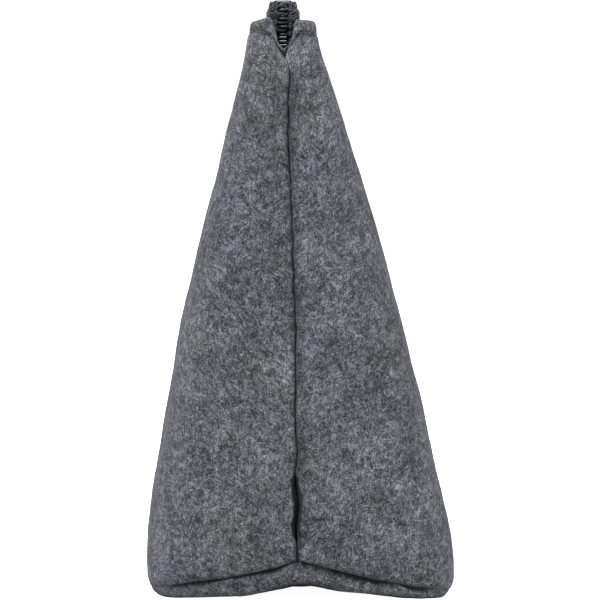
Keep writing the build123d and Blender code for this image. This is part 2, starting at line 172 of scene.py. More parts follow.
# Y of the plane midway between the walls
middle = curve(
    [0, 6] + WIDTH_Z[1:-1] + [96],
    [0, -0.08, -0.4, -0.56, -0.72, -0.96, -1.28, -1.44,
     -1.52, -1.68, -1.84, -2.08, -2.24, -2.56, -2.64, RIDGE_Y],
)
LENGTH_Z = [0, 20, 45, 68, 83, TOP]
half_length = curve(LENGTH_Z, [76.2, 79.2, 84.8, 90.0, 93.3, 95.2])
corner_radius = curve(LENGTH_Z, [9.5, 10.0, 9.6, 8.0, 5.6, 3.6])
felt_thickness = curve([0, 78, TOP], [FELT, FELT, 2.33])
flap_thickness = curve([0, 72, 86, TOP], [2.2, 2.2, 0.9, 0.75])
# how far the side seam wanders from the middle, towards the back
seam_shift = curve(
    [0, 8, 25, 50, 65, 79, 84, 87.4, TOP],
    [-0.30, -0.30, -0.2, 0.12, 0.38, 0.45, 0.42, 0.05, 0.0],
)
# and its own small bends on the way
seam_bend = curve(
    [0, 6.5, 9.0, 10.3, 11.4, 13.0, 14.6, 16.2, 17.8, 19.4, 21.0, 22.6, 25.1, 27.5,
     32.3, 35.5, 38.7, 41.1, 43.5, 45.1, 48.3, 53.0, 54.6, 56.2, 57.8, 61.0, 64.1, 65.7,
     67.3, 68.9, 70.4, 72.0, 73.6, 78.3, 79.9, 81.4, 83.0, 84.6, 85.2, 86.1, 87.2, TOP],
    [0, 0, 0, -0.11, -0.16, 0, 0.29, 0.51, 0.24, 0, 0.19, 0.32, 0.4, 0.33,
     0.33, 0.35, 0.51, 0.78, 0.7, 0.63, 0.47, 0.46, 0.33, 0.17, 0.16, 0.14, 0.17, 0.14,
     0, -0.14, -0.14, -0.25, -0.02, 0, -0.09, 0, 0.45, 0.5, 0.44, 0.2, 0, 0],
)
# how far the seam's lips part, low down
slack = curve(
    [0, 9.0, 10.3, 11.4, 13.0, 14.6, 16.2, 17.8, 19.4, 20.4, 21.0, 60, TOP],
    [0, 0.03, 0.3, 0.5, 0.55, 0.47, 0.6, 0.5, 0.3, 0.08, 0.0, 0, 0],
)

# Heights against the distance from the middle plane
corner_seam = {
    FRONT: curve(
        [0, 0.5, 1.5, 3.1, 4.7, 6.3, 9.5, 10.8, 14.3, 17.5, 20.0, 21.5, 25],
        [6.05, 6.0, 5.7, 5.22, 4.85, 4.5, 3.82, 3.62, 3.15, 2.8, 2.35, 2.0, 1.7],
    ),
    BACK: curve(
        [0, 0.5, 1.7, 3.25, 4.85, 6.4, 9.6, 12.8, 16, 19.2, 22.4, 25],
        [6.05, 6.0, 5.75, 5.45, 5.0, 4.65, 3.87, 3.05, 2.55, 1.8, 1.3, 1.2],
    ),
}
# at the ends the walls' top edge opens in a V round the zipper
end_edge = {
    FRONT: curve(
        [0, 0.12, 0.28, 0.5, 0.77, 1.0, 1.26, 1.7, 2.24, 2.67, 3.2, 4.2, 5.3],
        [88.0, 88.1, 88.3, 88.65, 89.1, 89.85, 90.8, 91.7, 92.4, 92.8, 92.7, 92.4, 92.2],
    ),
    BACK: curve(
        [0, 0.2, 0.5, 0.94, 1.3, 1.6, 1.85, 2.1, 2.4, 2.77, 3.4, 4.2, 5.3],
        [88.0, 88.1, 88.35, 88.85, 89.25, 89.75, 90.8, 91.6, 92.1, 92.45, 92.4, 92.35, 92.3],
    ),
}
end_stitch = {
    FRONT: curve(
        [0, 0.08, 0.64, 1.2, 1.65, 2.5, 3.7, 4.4, 5.4],
        [87.0, 87.1, 87.8, 88.9, 89.7, 90.2, 90.6, 90.75, 90.5],
    ),
    BACK: curve(
        [0, 0.1, 0.64, 1.4, 2.3, 3.2, 4.1, 5.3],
        [87.0, 87.1, 87.95, 88.95, 90.0, 90.5, 90.3, 90.2],
    ),
}
# the base's underside, at the ends
under_line = {
    FRONT: curve(
        [0, 1.5, 3.1, 4.7, 6.3, 7.9, 9.5, 12.7, 15.9, 19.1, 22.3, 26],
        [2.22, 1.88, 1.57, 1.32, 1.0, 0.74, 0.48, 0.33, 0.28, 0.16, 0.0, 0.0],
    ),
    BACK: curve(
        [0, 1.7, 3.25, 4.85, 6.4, 8.0, 9.6, 11.2, 12.8, 14.4, 17.6, 26],
        [2.22, 2.04, 1.86, 1.49, 1.19, 1.02, 0.84, 0.65, 0.45, 0.26, 0.0, 0.0],
    ),
}
# height of the walls' top edge against the distance round from the seam
top_edge = curve(
    [0, 0.35, 0.64, 1.0, 1.4, 2.0, 2.8, 4.5, 8.0, 13.0, 20.0],
    [87.45, 88.3, 89.25, 90.3, 91.1, 91.8, 92.1, 92.2, 92.25, TOP, TOP],
)

CREASES = [
    # side, distance from the middle and height of each of its two ends, depth, width
    (BACK, 1.4, 13.0, 4.2, 12.75, 0.62, 0.36),
    (BACK, 3.2, 12.6, 5.5, 13.5, 0.52, 0.36),
    (BACK, 0.3, 10.0, 2.4, 10.95, 0.60, 0.36),
    (BACK, 4.2, 10.8, 7.8, 9.6, 0.12, 0.5),
    (FRONT, 0.9, 9.4, 6.5, 8.1, 0.16, 0.6),
    (FRONT, 1.0, 14.2, 4.8, 13.0, 0.10, 0.5),
    (BACK, 1.0, 17.6, 4.2, 16.6, 0.10, 0.5),
    (FRONT, 2.0, 6.9, 9.0, 5.6, 0.14, 0.6),
    (BACK, 2.2, 7.4, 9.5, 6.0, 0.14, 0.6),
    (FRONT, 1.0, 84.0, 3.2, 81.6, 0.12, 0.6),
    (BACK, 1.2, 83.2, 3.4, 80.6, 0.12, 0.6),
]


def seam_gap(z):
    """Half the gap between the seam's two lips: closed, but for the slack stretch."""
    return 0.02 + slack(z)


def lip_radius(z):
    """Rounding of the seam's two lips: crisper at the V and where the seam is slack."""
    crisp_top = 1 - 0.72 * smooth(82.5, 86.8, z)
    crisp_slack = 1 - 0.62 * np.clip(slack(z) / 0.5, 0, 1)
    ripple = (0.16 - 0.1 * smooth(83, 86, z)) * np.sin(z * 1.9 + 0.6) * np.sin(z * 0.83)
    return LIP_RADIUS * crisp_top * crisp_slack + ripple


def arch(aside, reach, side):
    """Height the base rises to under each end."""
    return under_line[side](np.abs(aside)) * smooth(46, 75.5, reach)


def corner_fade(aside):
    """The corner seam runs out into the felt where it turns along the sides."""
    return 1 - 0.85 * smooth(19.0, 22.8, aside)


# ------------------------------------------------------------------ mesh helpers
def make_object(name, points, faces, **attributes):
    """A smooth-shaded object; each attribute holds a number or a vector for every point."""
    mesh = bpy.data.meshes.new(name)
    faces = [tuple(map(int, face)) for face in faces]
    mesh.from_pydata((np.asarray(points) * MM).tolist(), [], faces)
    mesh.update()
    mesh.polygons.foreach_set("use_smooth", [True] * len(mesh.polygons))
    for key, values in attributes.items():
        values = np.asarray(values, np.float32)
        kind, field = ("FLOAT", "value") if values.ndim == 1 else ("FLOAT_VECTOR", "vector")
        attribute = mesh.attributes.new(key, kind, "POINT")
        attribute.data.foreach_set(field, values.ravel())
    piece = bpy.data.objects.new(name, mesh)
    bpy.context.collection.objects.link(piece)
    return piece


def clean_and_face_out(piece):
    """Weld coincident points, drop empty faces and turn the rest outwards."""
    work = bmesh.new()
    work.from_mesh(piece.data)
    bmesh.ops.remove_doubles(work, verts=work.verts, dist=8e-7)
    bmesh.ops.dissolve_degenerate(work, edges=work.edges, dist=1e-8)
    bmesh.ops.recalc_face_normals(work, faces=work.faces)
    if work.calc_volume(signed=True) < 0:
        bmesh.ops.reverse_faces(work, faces=work.faces)
    work.to_mesh(piece.data)
    work.free()
    piece.data.update()
    return piece


def mark_flat_caps(piece):
    """Sharp edges round the faces that lie in the plane X = 0, where two halves meet."""
    mesh = piece.data
    places = np.empty(len(mesh.vertices) * 3, np.float32)
    mesh.vertices.foreach_get("co", places)
    on_plane = np.abs(places.reshape(-1, 3)[:, 0]) < 1e-7
    edges = np.empty(len(mesh.edges) * 2, np.int32)
    mesh.edges.foreach_get("vertices", edges)
    sharp = on_plane[edges.reshape(-1, 2)].all(axis=1)
    attribute = mesh.attributes.get("sharp_edge") or mesh.attributes.new(
        "sharp_edge", "BOOLEAN", "EDGE"
    )
    attribute.data.foreach_set("value", sharp)


def ring_quads(count, sides):
    """Point numbers of closed rings, and the quads from each ring to the next."""
    index = np.arange(count * sides).reshape(count, sides)
    after = np.roll(index, -1, axis=1)
    return index, np.stack([index[:-1], after[:-1], after[1:], index[1:]], axis=-1)


def capped_rings(rings):
    """Points and faces of a solid through the rings, closed at both ends."""
    index, quads = ring_quads(*rings.shape[:2])
    return rings.reshape(-1, 3), [*quads.reshape(-1, 4), index[0][::-1], index[-1]]


def tube(points, radius, sides, upward, tag=0.0):
    """Points, faces and run of a tube. Run holds length along it, turn round it, and the tag."""
    heading = unit(np.gradient(points, axis=0))
    across = unit(np.cross(heading, upward))
    over = np.cross(across, heading)
    radius = np.broadcast_to(np.asarray(radius, float), (len(points),))[:, None, None]
    angles = np.arange(sides) * 2 * PI / sides
    cosine, sine = np.cos(angles)[None, :, None], np.sin(angles)[None, :, None]
    rings = points[:, None, :] + radius * (cosine * across[:, None, :] + sine * over[:, None, :])
    places, faces = capped_rings(rings)
    length = np.repeat(travelled(points), sides)
    turn = np.tile(angles / (2 * PI), len(points))
    return places, faces, np.stack([length, turn, np.full(len(length), float(tag))], axis=1)


def join_tubes(name, tubes):
    faces, base = [], 0
    for places, tube_faces, _ in tubes:
        faces += [[index + base for index in face] for face in tube_faces]
        base += len(places)
    points = np.vstack([places for places, _, _ in tubes])
    return make_object(name, points, faces, run=np.vstack([run for _, _, run in tubes]))


def grid_normals(grid):
    """Unit normals of a grid of points, from its own differences."""
    return unit(np.cross(np.gradient(grid, axis=1), np.gradient(grid, axis=0)))


# ------------------------------------------------------------------ felt outlines
# Columns run round a quarter of the pouch, from the seam at its end to the middle of its long
# side: the flap turned in at the seam, the seam's lip, the end face, the corner, the flank.
# `reach` is the distance out along X from the middle of the pouch, `aside` the distance from
# the middle plane, and `part` how far through its zone a column is.
FLAP, LIP, FACE, CORNER, FLANK = range(5)


def columns(zones, counts, crowding):
    """Zone and part of each column; those of the flank crowd towards the corner."""
    parts = [np.arange(count) / count for count in counts[:-1]]
    parts.append(np.linspace(0, 1, counts[-1]) ** crowding)
    return np.repeat(zones, counts), np.concatenate(parts)


def by_zone(zone, *values):
    """One value for each zone in order; the zones left out get 0."""
    return np.select([zone == k for k in range(len(values))], values)


def end_share(zone, part):
    """1 on the end face and round its corner, 0 along the flank."""
    return np.where(zone < FLANK, 1.0, 1 - smooth(0.0, 0.11, part))


def bottom_radius(zone, part, side):
    at_end, full = 1.05, 3.2 if side == BACK else 2.0
    turning = at_end + (full - at_end) * smooth(0.40, 1.0, part)
    return by_zone(zone, at_end, at_end, at_end, turning, full)


def outline(zone, part, length, width, radius, edge=0.0, lip=0.0, tip=0.0, flap_aside=0.0):
    """Reach and aside round a quarter. edge is where the lip starts, tip the flap's reach."""
    angle = part * PI / 2
    reach = by_zone(
        zone,
        tip + (length - lip - tip) * part,
        length - lip + lip * np.sin(angle),
        length,
        length - radius + radius * np.cos(angle),
        (length - radius) * (1 - part),
    )
    aside = by_zone(
        zone,
        flap_aside,
        edge + lip - lip * np.cos(angle),
        edge + lip + (width - radius - edge - lip) * part,
        width - radius + radius * np.sin(angle),
        width,
    )
    return reach, aside


def section(z, zone, part, side, cut, base=False):
    """Outside of the felt at heights z; cut is how far it stands back from its full size."""
    length = half_length(z) - cut
    width = half_width[side](z) - cut
    edge = 0.0 if base else seam_gap(z)
    lip = 0.0 if base else lip_radius(z)
    radius = corner_radius(z) - 0.6 * cut
    if base and side == BACK:
        radius = radius * (1 - 0.38 * (1 - smooth(0.0, 2.0, z)))
    radius = np.maximum(np.minimum(radius, width - edge - lip - 0.15), 0.6)
    reach, aside = outline(
        zone, part, length, width, radius, edge, lip,
        tip=length - felt_thickness(z) - FLAP_LENGTH,
        flap_aside=-0.02 + (edge + 0.02) * smooth(0.62, 1.0, part),
    )
    # the seam draws the middle of the end in a little
    pull = 0.55 * bell(aside, 4.2) * smooth(4, 30, z) * (1 - smooth(70, 88, z))
    return reach - np.where(zone < FLANK, pull, 0), aside


def inner_section(z, side):
    """Inside of a wall at heights z."""
    thick = felt_thickness(z)
    length = half_length(z) - thick
    width = half_width[side](z) - thick
    edge = seam_gap(z) + flap_thickness(z)
    lip = 0.55 - 0.3 * smooth(75, 88, z)
    radius = np.maximum(corner_radius(z) - thick, 0.9)
    radius = np.maximum(np.minimum(radius, width - edge - lip - 0.05), 0.25)
    return outline(
        ZONE, PART, length, width, radius, edge, lip, tip=length - FLAP_LENGTH, flap_aside=edge
    )


# ------------------------------------------------------------------ felt walls
ZONE_COLUMNS = (8, 10, 27, 22, 96)
ZONE, PART = columns(range(5), ZONE_COLUMNS, crowding=1.22)
FIRST_LIP, FIRST_FACE, FIRST_CORNER = np.cumsum(ZONE_COLUMNS[:3])
BEYOND_FLAP = ZONE > FLAP
# rows as shares of the way from bottom to top edge, closer together near both
OUTER_ROWS = np.concatenate(
    [
        np.linspace(0, 4.0, 12, endpoint=False),
        np.linspace(4.0, 17.0, 42, endpoint=False),
        np.linspace(17.0, 83.8, 104, endpoint=False),
        np.linspace(83.8, 90.0, 26),
    ]
) / 90.0
INNER_ROWS = np.concatenate(
    [np.linspace(0, 0.94, 54, endpoint=False), np.linspace(0.94, 1.0, 8)]
)[::-1]
RIM_SHARES = (1 - np.cos(np.linspace(0, PI, 9)))[1:-1] / 2  # across the cut top edge
RIM_INNER_RADIUS = 0.75


def place(reach, aside, z, side, end):
    """Points of a wall. Near the seam everything shifts with it."""
    near = by_zone(ZONE, 1.0, 1.0, 1 - smooth(0, 1, PART)) * (1 - smooth(88.5, 92, z))
    wobble = (
        0.10 * np.sin(z * 0.55 + end)
        + 0.07 * np.sin(z * 1.31 + 1.7 * end)
        + 0.05 * np.sin(z * 2.9 + end)
    ) * smooth(7, 12, z) * (1 - smooth(80, 86, z))
    y = middle(z) + side * aside + (seam_shift(z) + seam_bend(z) + wobble) * near
    return np.stack([end * reach, y, z], axis=-1)


def outward_normals(grid, side, end):
    normals = grid_normals(grid)
    outward = normals @ np.array([end, side, 0.0])
    return normals * np.where(np.median(outward) < 0, -1, 1)


def soft_shape(points, side, swell):
    """Displacement of the felt's outside: slow swells, then small lumps."""
    seed = 14 if side == BACK else 11
    slow = noise(points, 26.0, seed) * 0.42 + noise(points, 13.0, seed + 1) * 0.20
    lumps = noise(points, 4.2, seed + 2) * 0.075 + noise(points, 1.7, seed + 3) * 0.045
    return slow * swell + lumps + noise(points, 0.85, seed + 4) * 0.03


def pressed_creases(side, aside, z):
    """How far the creases press the felt in, and how much painted shade they lay in it."""
    pressed, tone = np.zeros_like(z), np.zeros_like(z)
    for crease_side, aside_a, z_a, aside_b, z_b, depth, width in CREASES:
        if crease_side != side:
            continue
        run, rise = aside_b - aside_a, z_b - z_a
        share = ((aside - aside_a) * run + (z - z_a) * rise) / (run * run + rise * rise)
        share = np.clip(share, 0, 1)
        away = np.hypot(aside - (aside_a + share * run), z - (z_a + share * rise))
        press = bell(away, width) * np.sin(np.clip(share, 0.08, 0.92) * PI) * (ZONE < CORNER)
        pressed = pressed + depth * press
        # painted shade in the deeper creases
        tone = tone + 1.5 * max(depth - 0.18, 0) * press
    return pressed, tone


def wall_edges(side):
    """Heights of a wall's edges and topstitching at each column, and what they follow."""
    level = np.ones(len(ZONE))
    top_reach, top_aside = section(91.0 * level, ZONE, PART, side, 0.0)
    around = travelled(np.stack([top_reach, top_aside], -1))
    around = around - around[FIRST_LIP]
    ends = end_share(ZONE, PART)
    side_top = top_edge(np.clip(around, 4.0, 20))
    top = end_edge[side](top_aside) * ends + side_top * (1 - ends)
    top[FIRST_LIP] = 88.0
    top[:FIRST_LIP] = 85.9
    low_aside = section(4.0 * level, ZONE, PART, side, 0.0)[1]
    bottom = corner_seam[side](low_aside) * ends + FOLD * (1 - ends)
    bottom[:FIRST_LIP] = 9.2
    lips = slice(FIRST_LIP, FIRST_FACE)
    bottom[lips] = np.maximum(bottom[lips], corner_seam[side](0.2))
    end_groove = np.minimum(end_stitch[side](top_aside), top - 0.2)
    return SimpleNamespace(
        around=around,
        top_aside=top_aside,
        ends=ends,
        top=top,
        bottom=bottom,
        inner_top=top - RIM_INNER_RADIUS,
        inner_bottom=np.maximum(bottom + 0.25, 3.2),
        groove=end_groove * ends + (side_top - STITCH_DROP) * (1 - ends),
        rounding=(0.28 + 0.72 * smooth(0.2, 3.0, top_aside)) * ends + 1.0 * (1 - ends),
        corner_seam_share=ends * corner_fade(low_aside),
        corner_fading=corner_fade(low_aside),
    )


def wall_outside(side, end, edges):
    """Outer skin from bottom to top, its undisplaced normals and its painted shade."""
    z = edges.bottom + OUTER_ROWS[:, None] * (edges.top - edges.rounding - edges.bottom)
    # rounded in at the bottom fold, and at the corner seam
    radius = bottom_radius(ZONE, PART, side)
    low = np.clip(radius - z, 0, radius * 0.999)
    fold_cut = radius - np.sqrt(radius * radius - low * low)
    lip = np.clip(1 - (z - edges.bottom) / 1.9, 0, 1)
    seam_cut = 0.85 * (1 - np.sqrt(np.maximum(1 - lip * lip, 0))) * edges.corner_fading
    turn = by_zone(ZONE, 1.0, 1.0, 1.0, 1 - smooth(0.40, 1.0, PART))
    cut = fold_cut * (1 - turn) + seam_cut * turn
    reach, aside = section(z, ZONE, PART, side, cut)
    # the long side swells
    belly = by_zone(ZONE, 0, 0, 0, 0, smooth(0, 0.8, PART)) * np.sin(np.clip(z / 92.0, 0, 1) * PI)
    aside = aside + belly * 0.9 * (0.7 if side == FRONT else 0.5)
    skin = place(reach, aside, z, side, end)
    normals = outward_normals(skin, side, end)

    calm = by_zone(ZONE, 0, 0.7, 1.0, 1.0, 1.0) * smooth(0.0, 2.5, reach)
    swell = smooth(2, 12, z) * (1 - smooth(80, 90, z))
    swell = swell * by_zone(ZONE, 0, 0, smooth(0.1, 0.6, PART), 1, 1)
    lift = soft_shape(skin, side, swell) * calm
    # topstitch groove, and the felt raised above and below it
    above_groove = z - edges.groove
    pucker = 0.5 + 0.5 * np.cos(edges.around * 2 * PI / STITCH_PITCH)
    facing = np.sqrt(np.clip(1 - edges.top_aside / 5.2, 0, 1) * edges.ends)
    groove_depth = 0.20 + 0.22 * facing + 0.08 * pucker
    lift = lift + BEYOND_FLAP * (
        0.07 * bell(above_groove - 1.0, 0.7)
        + 0.04 * bell(above_groove + 1.4, 1.1)
        - groove_depth * bell(above_groove, 0.34)
    )
    pressed, crease_shade = pressed_creases(side, aside, z)
    # small puckers the side seam's stitches draw beside it
    near_seam = bell(aside - 1.9, 1.2) * (ZONE < CORNER)
    seam_pucker = 0.5 + 0.5 * np.cos(z * 2 * PI / STITCH_PITCH + side)
    lift = lift - pressed - 0.07 * near_seam * seam_pucker * smooth(8, 14, z)
    skin = skin + normals * lift[..., None]
    skin[:, -1, 0] = 0.0

    patchy = 0.80 + 0.38 * noise(skin, 2.1, 55) + 0.2 * noise(skin, 0.9, 56)
    # painted shade in the seam: the front's lip lies over the back's, so its own edge gets little
    # of it
    fall, side_on = (0.90, 0.10) if side == FRONT else (0.66, 0.36)
    from_lip = np.clip(aside - seam_gap(z) - lip_radius(z), 0, None)
    in_seam = by_zone(ZONE, 1.0, (1 - PART * fall) * 0.88, side_on * bell(from_lip, 0.40))
    open_low = by_zone(ZONE, 0.3, 1.1 * (1 - smooth(0.30, 0.75, PART)))
    # painted shade: in the topstitch groove, down the side seam, on the flaps near the top, in the
    # slack opening, in the creases and just above the corner seam
    shade = (
        bell(above_groove, 0.42) * BEYOND_FLAP * 0.75 * (0.75 + 0.5 * pucker) * (1 + 0.45 * facing)
        + in_seam * patchy * (1 - 0.55 * smooth(83.5, 86.0, z))
        + by_zone(ZONE, smooth(84.5, 86.0, z))
        + np.clip(slack(z) / 0.40, 0, 1) * open_low
        + crease_shade
        + lip**4 * edges.corner_seam_share * 0.40 * patchy
    )
    return skin, normals, np.clip(shade, 0, SHADE_LIMIT)


def wall_rim(outer, inner, edges):
    """Rows over the cut top edge, rounded on both sides."""
    share = RIM_SHARES[:, None]
    rim = outer * (1 - share[..., None]) + inner * share[..., None]
    out = np.clip(1 - share * FELT / edges.rounding, 0, 1)
    inward = np.clip(1 - (1 - share) * FELT / RIM_INNER_RADIUS, 0, 1)
    rim[..., 2] = (
        edges.top
        - edges.rounding * (1 - np.sqrt(1 - out * out))
        - RIM_INNER_RADIUS * (1 - np.sqrt(1 - inward * inward))
    )
    rim[..., 2] += noise(rim, 1.3, 71) * 0.07 * BEYOND_FLAP
    rim[..., 1] += noise(rim, 1.6, 72) * 0.05 * BEYOND_FLAP * smooth(0, 2.5, np.abs(rim[..., 0]))
    rim[:, -1, 0] = 0.0
    return rim


def wall_inside(side, end, edges):
    """Inner skin from top to bottom."""
    z = edges.inner_bottom + INNER_ROWS[:, None] * (edges.inner_top - edges.inner_bottom)
    reach, aside = inner_section(z, side)
    skin = place(reach, aside, z, side, end)
    normals = outward_normals(skin, side, end)
    lumps = noise(skin, 2.2, 81) * 0.05 * BEYOND_FLAP * smooth(0.0, 2.5, reach)
    skin = skin + normals * lumps[..., None]
    skin[:, -1, 0] = 0.0
    return skin


def wall_faces(grid, rim_middle):
    """Quads round the grid's rows, and the two end columns closed across the felt."""
    rows, cols = grid.shape[:2]
    index = np.arange(rows * cols).reshape(rows, cols)
    after = np.roll(index, -1, axis=0)
    quads = [index[:, :-1], index[:, 1:], after[:, 1:], after[:, :-1]]
    faces = list(np.stack(quads, axis=-1).reshape(-1, 4))
    for c in (0, cols - 1):
        a, b = 0, rows - 1
        while b - a > 1:
            lower = grid[a + 1, c, 2] <= grid[b - 1, c, 2] or b - 1 <= rim_middle
            if a < rim_middle and lower:
                faces.append((index[a, c], index[a + 1, c], index[b, c]))
                a += 1
            else:
                faces.append((index[a, c], index[b - 1, c], index[b, c]))
                b -= 1
    return faces


def wall_half(side, end):
    edges = wall_edges(side)
    outer, normals, outer_shade = wall_outside(side, end, edges)
    inner_reach, inner_aside = inner_section(edges.inner_top, side)
    inner_edge = place(inner_reach, inner_aside, edges.inner_top, side, end)
    rim = wall_rim(outer[-1], inner_edge, edges)
    inner = wall_inside(side, end, edges)
    grid = np.concatenate([outer, rim, inner], axis=0)

    # texture plane: distance round from the middle of the long side, and height
    run = travelled(grid[:, ::-1], axis=1)[:, ::-1]
    climb = travelled(grid)
    last = len(outer) - 1
    height = grid[..., 2].copy()
    height[last + 1 :] = (grid[last, :, 2] + climb - climb[last])[last + 1 :]
    back_offset = 400 if side == BACK else 0
    felt_uv = np.stack([end * run + back_offset, height, np.zeros_like(run)], -1)

    # painted shade on the cut edge and the inside, down in the V
    in_v = (1 - smooth(0.55, 1.5, edges.top_aside)) * edges.ends
    rim_shade = smooth(0.1, 0.6, RIM_SHARES)[:, None] * in_v * 1.05
    inner_shade = in_v * smooth(78, 84, inner[..., 2])
    piece = make_object(
        f"{SIDE_NAME[side]}_wall_{END_NAME[end]}",
        grid.reshape(-1, 3),
        wall_faces(grid, rim_middle=len(outer) + len(rim) // 2),
        felt_uv=felt_uv.reshape(-1, 3),
        seam_depth=np.concatenate([outer_shade, rim_shade, inner_shade]).ravel(),
    )
    clean_and_face_out(piece)
    mark_flat_caps(piece)
    # the inside is kept from bottom to top, for the seam threads
    return piece, SimpleNamespace(
        outer=outer, normals=normals, inner=inner[::-1],
        groove=edges.groove, inner_bottom=edges.inner_bottom,
    )


walls, wall_shapes = {}, {}
for quarter in QUARTERS:
    walls[quarter], wall_shapes[quarter] = wall_half(*quarter)


# ------------------------------------------------------------------ felt base
BASE_ZONE, BASE_PART = columns((FACE, CORNER, FLANK), (26, 20, 70), crowding=1.15)
BAND_ROWS, ROUNDING_ROWS, BOTTOM_ROWS, FLOOR_ROWS = 14, 13, 21, 12
SPINE = 51.0  # half length of the line the bottom's rows close on
OUTER_UV_SHIFT, INNER_UV_SHIFT = np.array([0, 900, 0]), np.array([0, 1200, 0])


def base_outside(side, end, zone, part):
    """Rows from the corner seam down, under, and in to the middle line; then UVs and painted shade.
    """
    ends = end_share(zone, part)
    level = np.full(len(zone), 4.0)
    reach, level_aside = section(level, zone, part, side, 0.0, base=True)
    tuck = bell(level_aside, 2.2) * ends
    seam_share = ends * corner_fade(level_aside)
    top = corner_seam[side](level_aside) * ends + FOLD * (1 - ends) + 0.55 * tuck
    bottom = arch(level_aside, reach, side)
    radius = bottom_radius(zone, part, side)
    first_angle = np.arcsin(np.clip(1 - (top - bottom) / radius, 0, 0.98))

    # a band down to the bottom's rounding, then the rounding itself
    progress = np.concatenate([np.zeros(BAND_ROWS), np.linspace(0, 1, ROUNDING_ROWS)])[:, None]
    angle = first_angle + (PI / 2 - first_angle) * progress
    rounded = bottom + radius * (1 - np.sin(angle))
    band = np.linspace(0, 1, BAND_ROWS + 1)[:-1, None]
    z = np.concatenate([top + (rounded[0] - top) * band, rounded[BAND_ROWS:]])
    below = top - z
    lip = np.clip(1 - below / 0.9, 0, 1)
    set_back = (
        seam_share * (0.50 + 0.45 * (1 - np.sqrt(1 - lip * lip)))
        + tuck * 0.6 * np.clip(1 - below / 1.0, 0, 1)
    )
    cut = set_back + radius * (1 - np.cos(angle))
    reach, aside = section(z, zone, part, side, cut, base=True)
    y = middle(z) + side * aside
    upright = np.stack([end * reach, y, z], -1)
    lean = by_zone(zone, 0, 0, 0, part * PI / 2, PI / 2)
    flat_x = end * (reach + z * np.cos(lean))
    upright_uv = np.stack([y + side * z * np.sin(lean), flat_x, np.zeros_like(z)], -1)

    # painted shade: the band darker overall and in irregular patches, darker again as the bottom's
    # rounding turns under, a painted shadow under the corner seam, and the darkest shade under the
    # middle of the arch
    flat = upright * np.array([1, 1, 0.15])
    patches = 1 + 0.45 * noise(flat, 2.6, 57) + 0.35 * noise(flat, 1.0, 60)
    wide = (0.55 if side == FRONT else 0.86) * patches
    shadow_under_seam = np.exp(-(np.clip(below / wide, 0, 9) ** 3)) * seam_share
    shade = (
        0.20 + 0.34 * noise(upright, 2.0, 59)
        + smooth(0.35, 0.85, progress) * (0.62 + 0.38 * bell(level_aside, 5.0))
        + shadow_under_seam * (1.1 + 0.4 * noise(upright, 1.1, 58))
        + bell(z - bottom, 0.60) * bell(level_aside, 4.6) * 1.1
    )

    # in under the bottom, towards the middle line
    spine_x = end * SPINE * np.where(zone < FLANK, 1, 1 - part)
    spine = np.stack([spine_x, 0 * spine_x, 0 * spine_x], -1)
    share = np.linspace(0, 1, BOTTOM_ROWS + 1)[1:, None, None]
    under = upright[-1] * (1 - share) + spine * share
    rise = arch(under[..., 1], np.abs(under[..., 0]), side)
    under[..., 2] = rise * (1 - smooth(0.9, 1.0, share[..., 0]))
    under_uv = np.stack([under[..., 1], under[..., 0], np.zeros(under.shape[:2])], -1)
    return (
        np.concatenate([upright, under]),
        np.concatenate([upright_uv, under_uv]) + OUTER_UV_SHIFT,
        np.concatenate([np.clip(shade, 0, SHADE_LIMIT), np.zeros(under.shape[:2])]),
        top,
    )


def base_inside(side, end, zone, part, top):
    """Rows from the middle line out over the floor and up to the rim."""
    level = np.full(len(zone), 4.0)
    full_reach, full_aside = outline(
        zone, part,
        length=half_length(level) - FELT,
        width=half_width[side](level) - FELT,
        radius=np.maximum(corner_radius(level) - FELT, 1.0),
    )
    step = 0.5 * (full_aside > 0.5)
    reach, aside = full_reach - 0.5, full_aside - step
    share = np.linspace(0, 1, FLOOR_ROWS)[:, None]
    floor_reach = SPINE * np.where(zone < FLANK, 1, 1 - part) * (1 - share) + reach * share
    floor_aside = aside * share
    floor_z = FELT + arch(floor_aside, floor_reach, side) * 0.6
    floor_rows = np.stack([end * floor_reach, side * floor_aside, floor_z], -1)
    share = np.array([0.35, 0.7, 1.0])[:, None]
    out = np.minimum(1, share * 1.4)
    z = floor_z[-1] * (1 - share) + np.maximum(top + 0.25, 3.2) * share
    y = middle(z) + side * (aside + step * out)
    rim_rows = np.stack([end * (reach + 0.5 * out), y, z], -1)
    rows = np.concatenate([floor_rows, rim_rows])
    return rows, rows[..., [1, 0, 2]] + INNER_UV_SHIFT


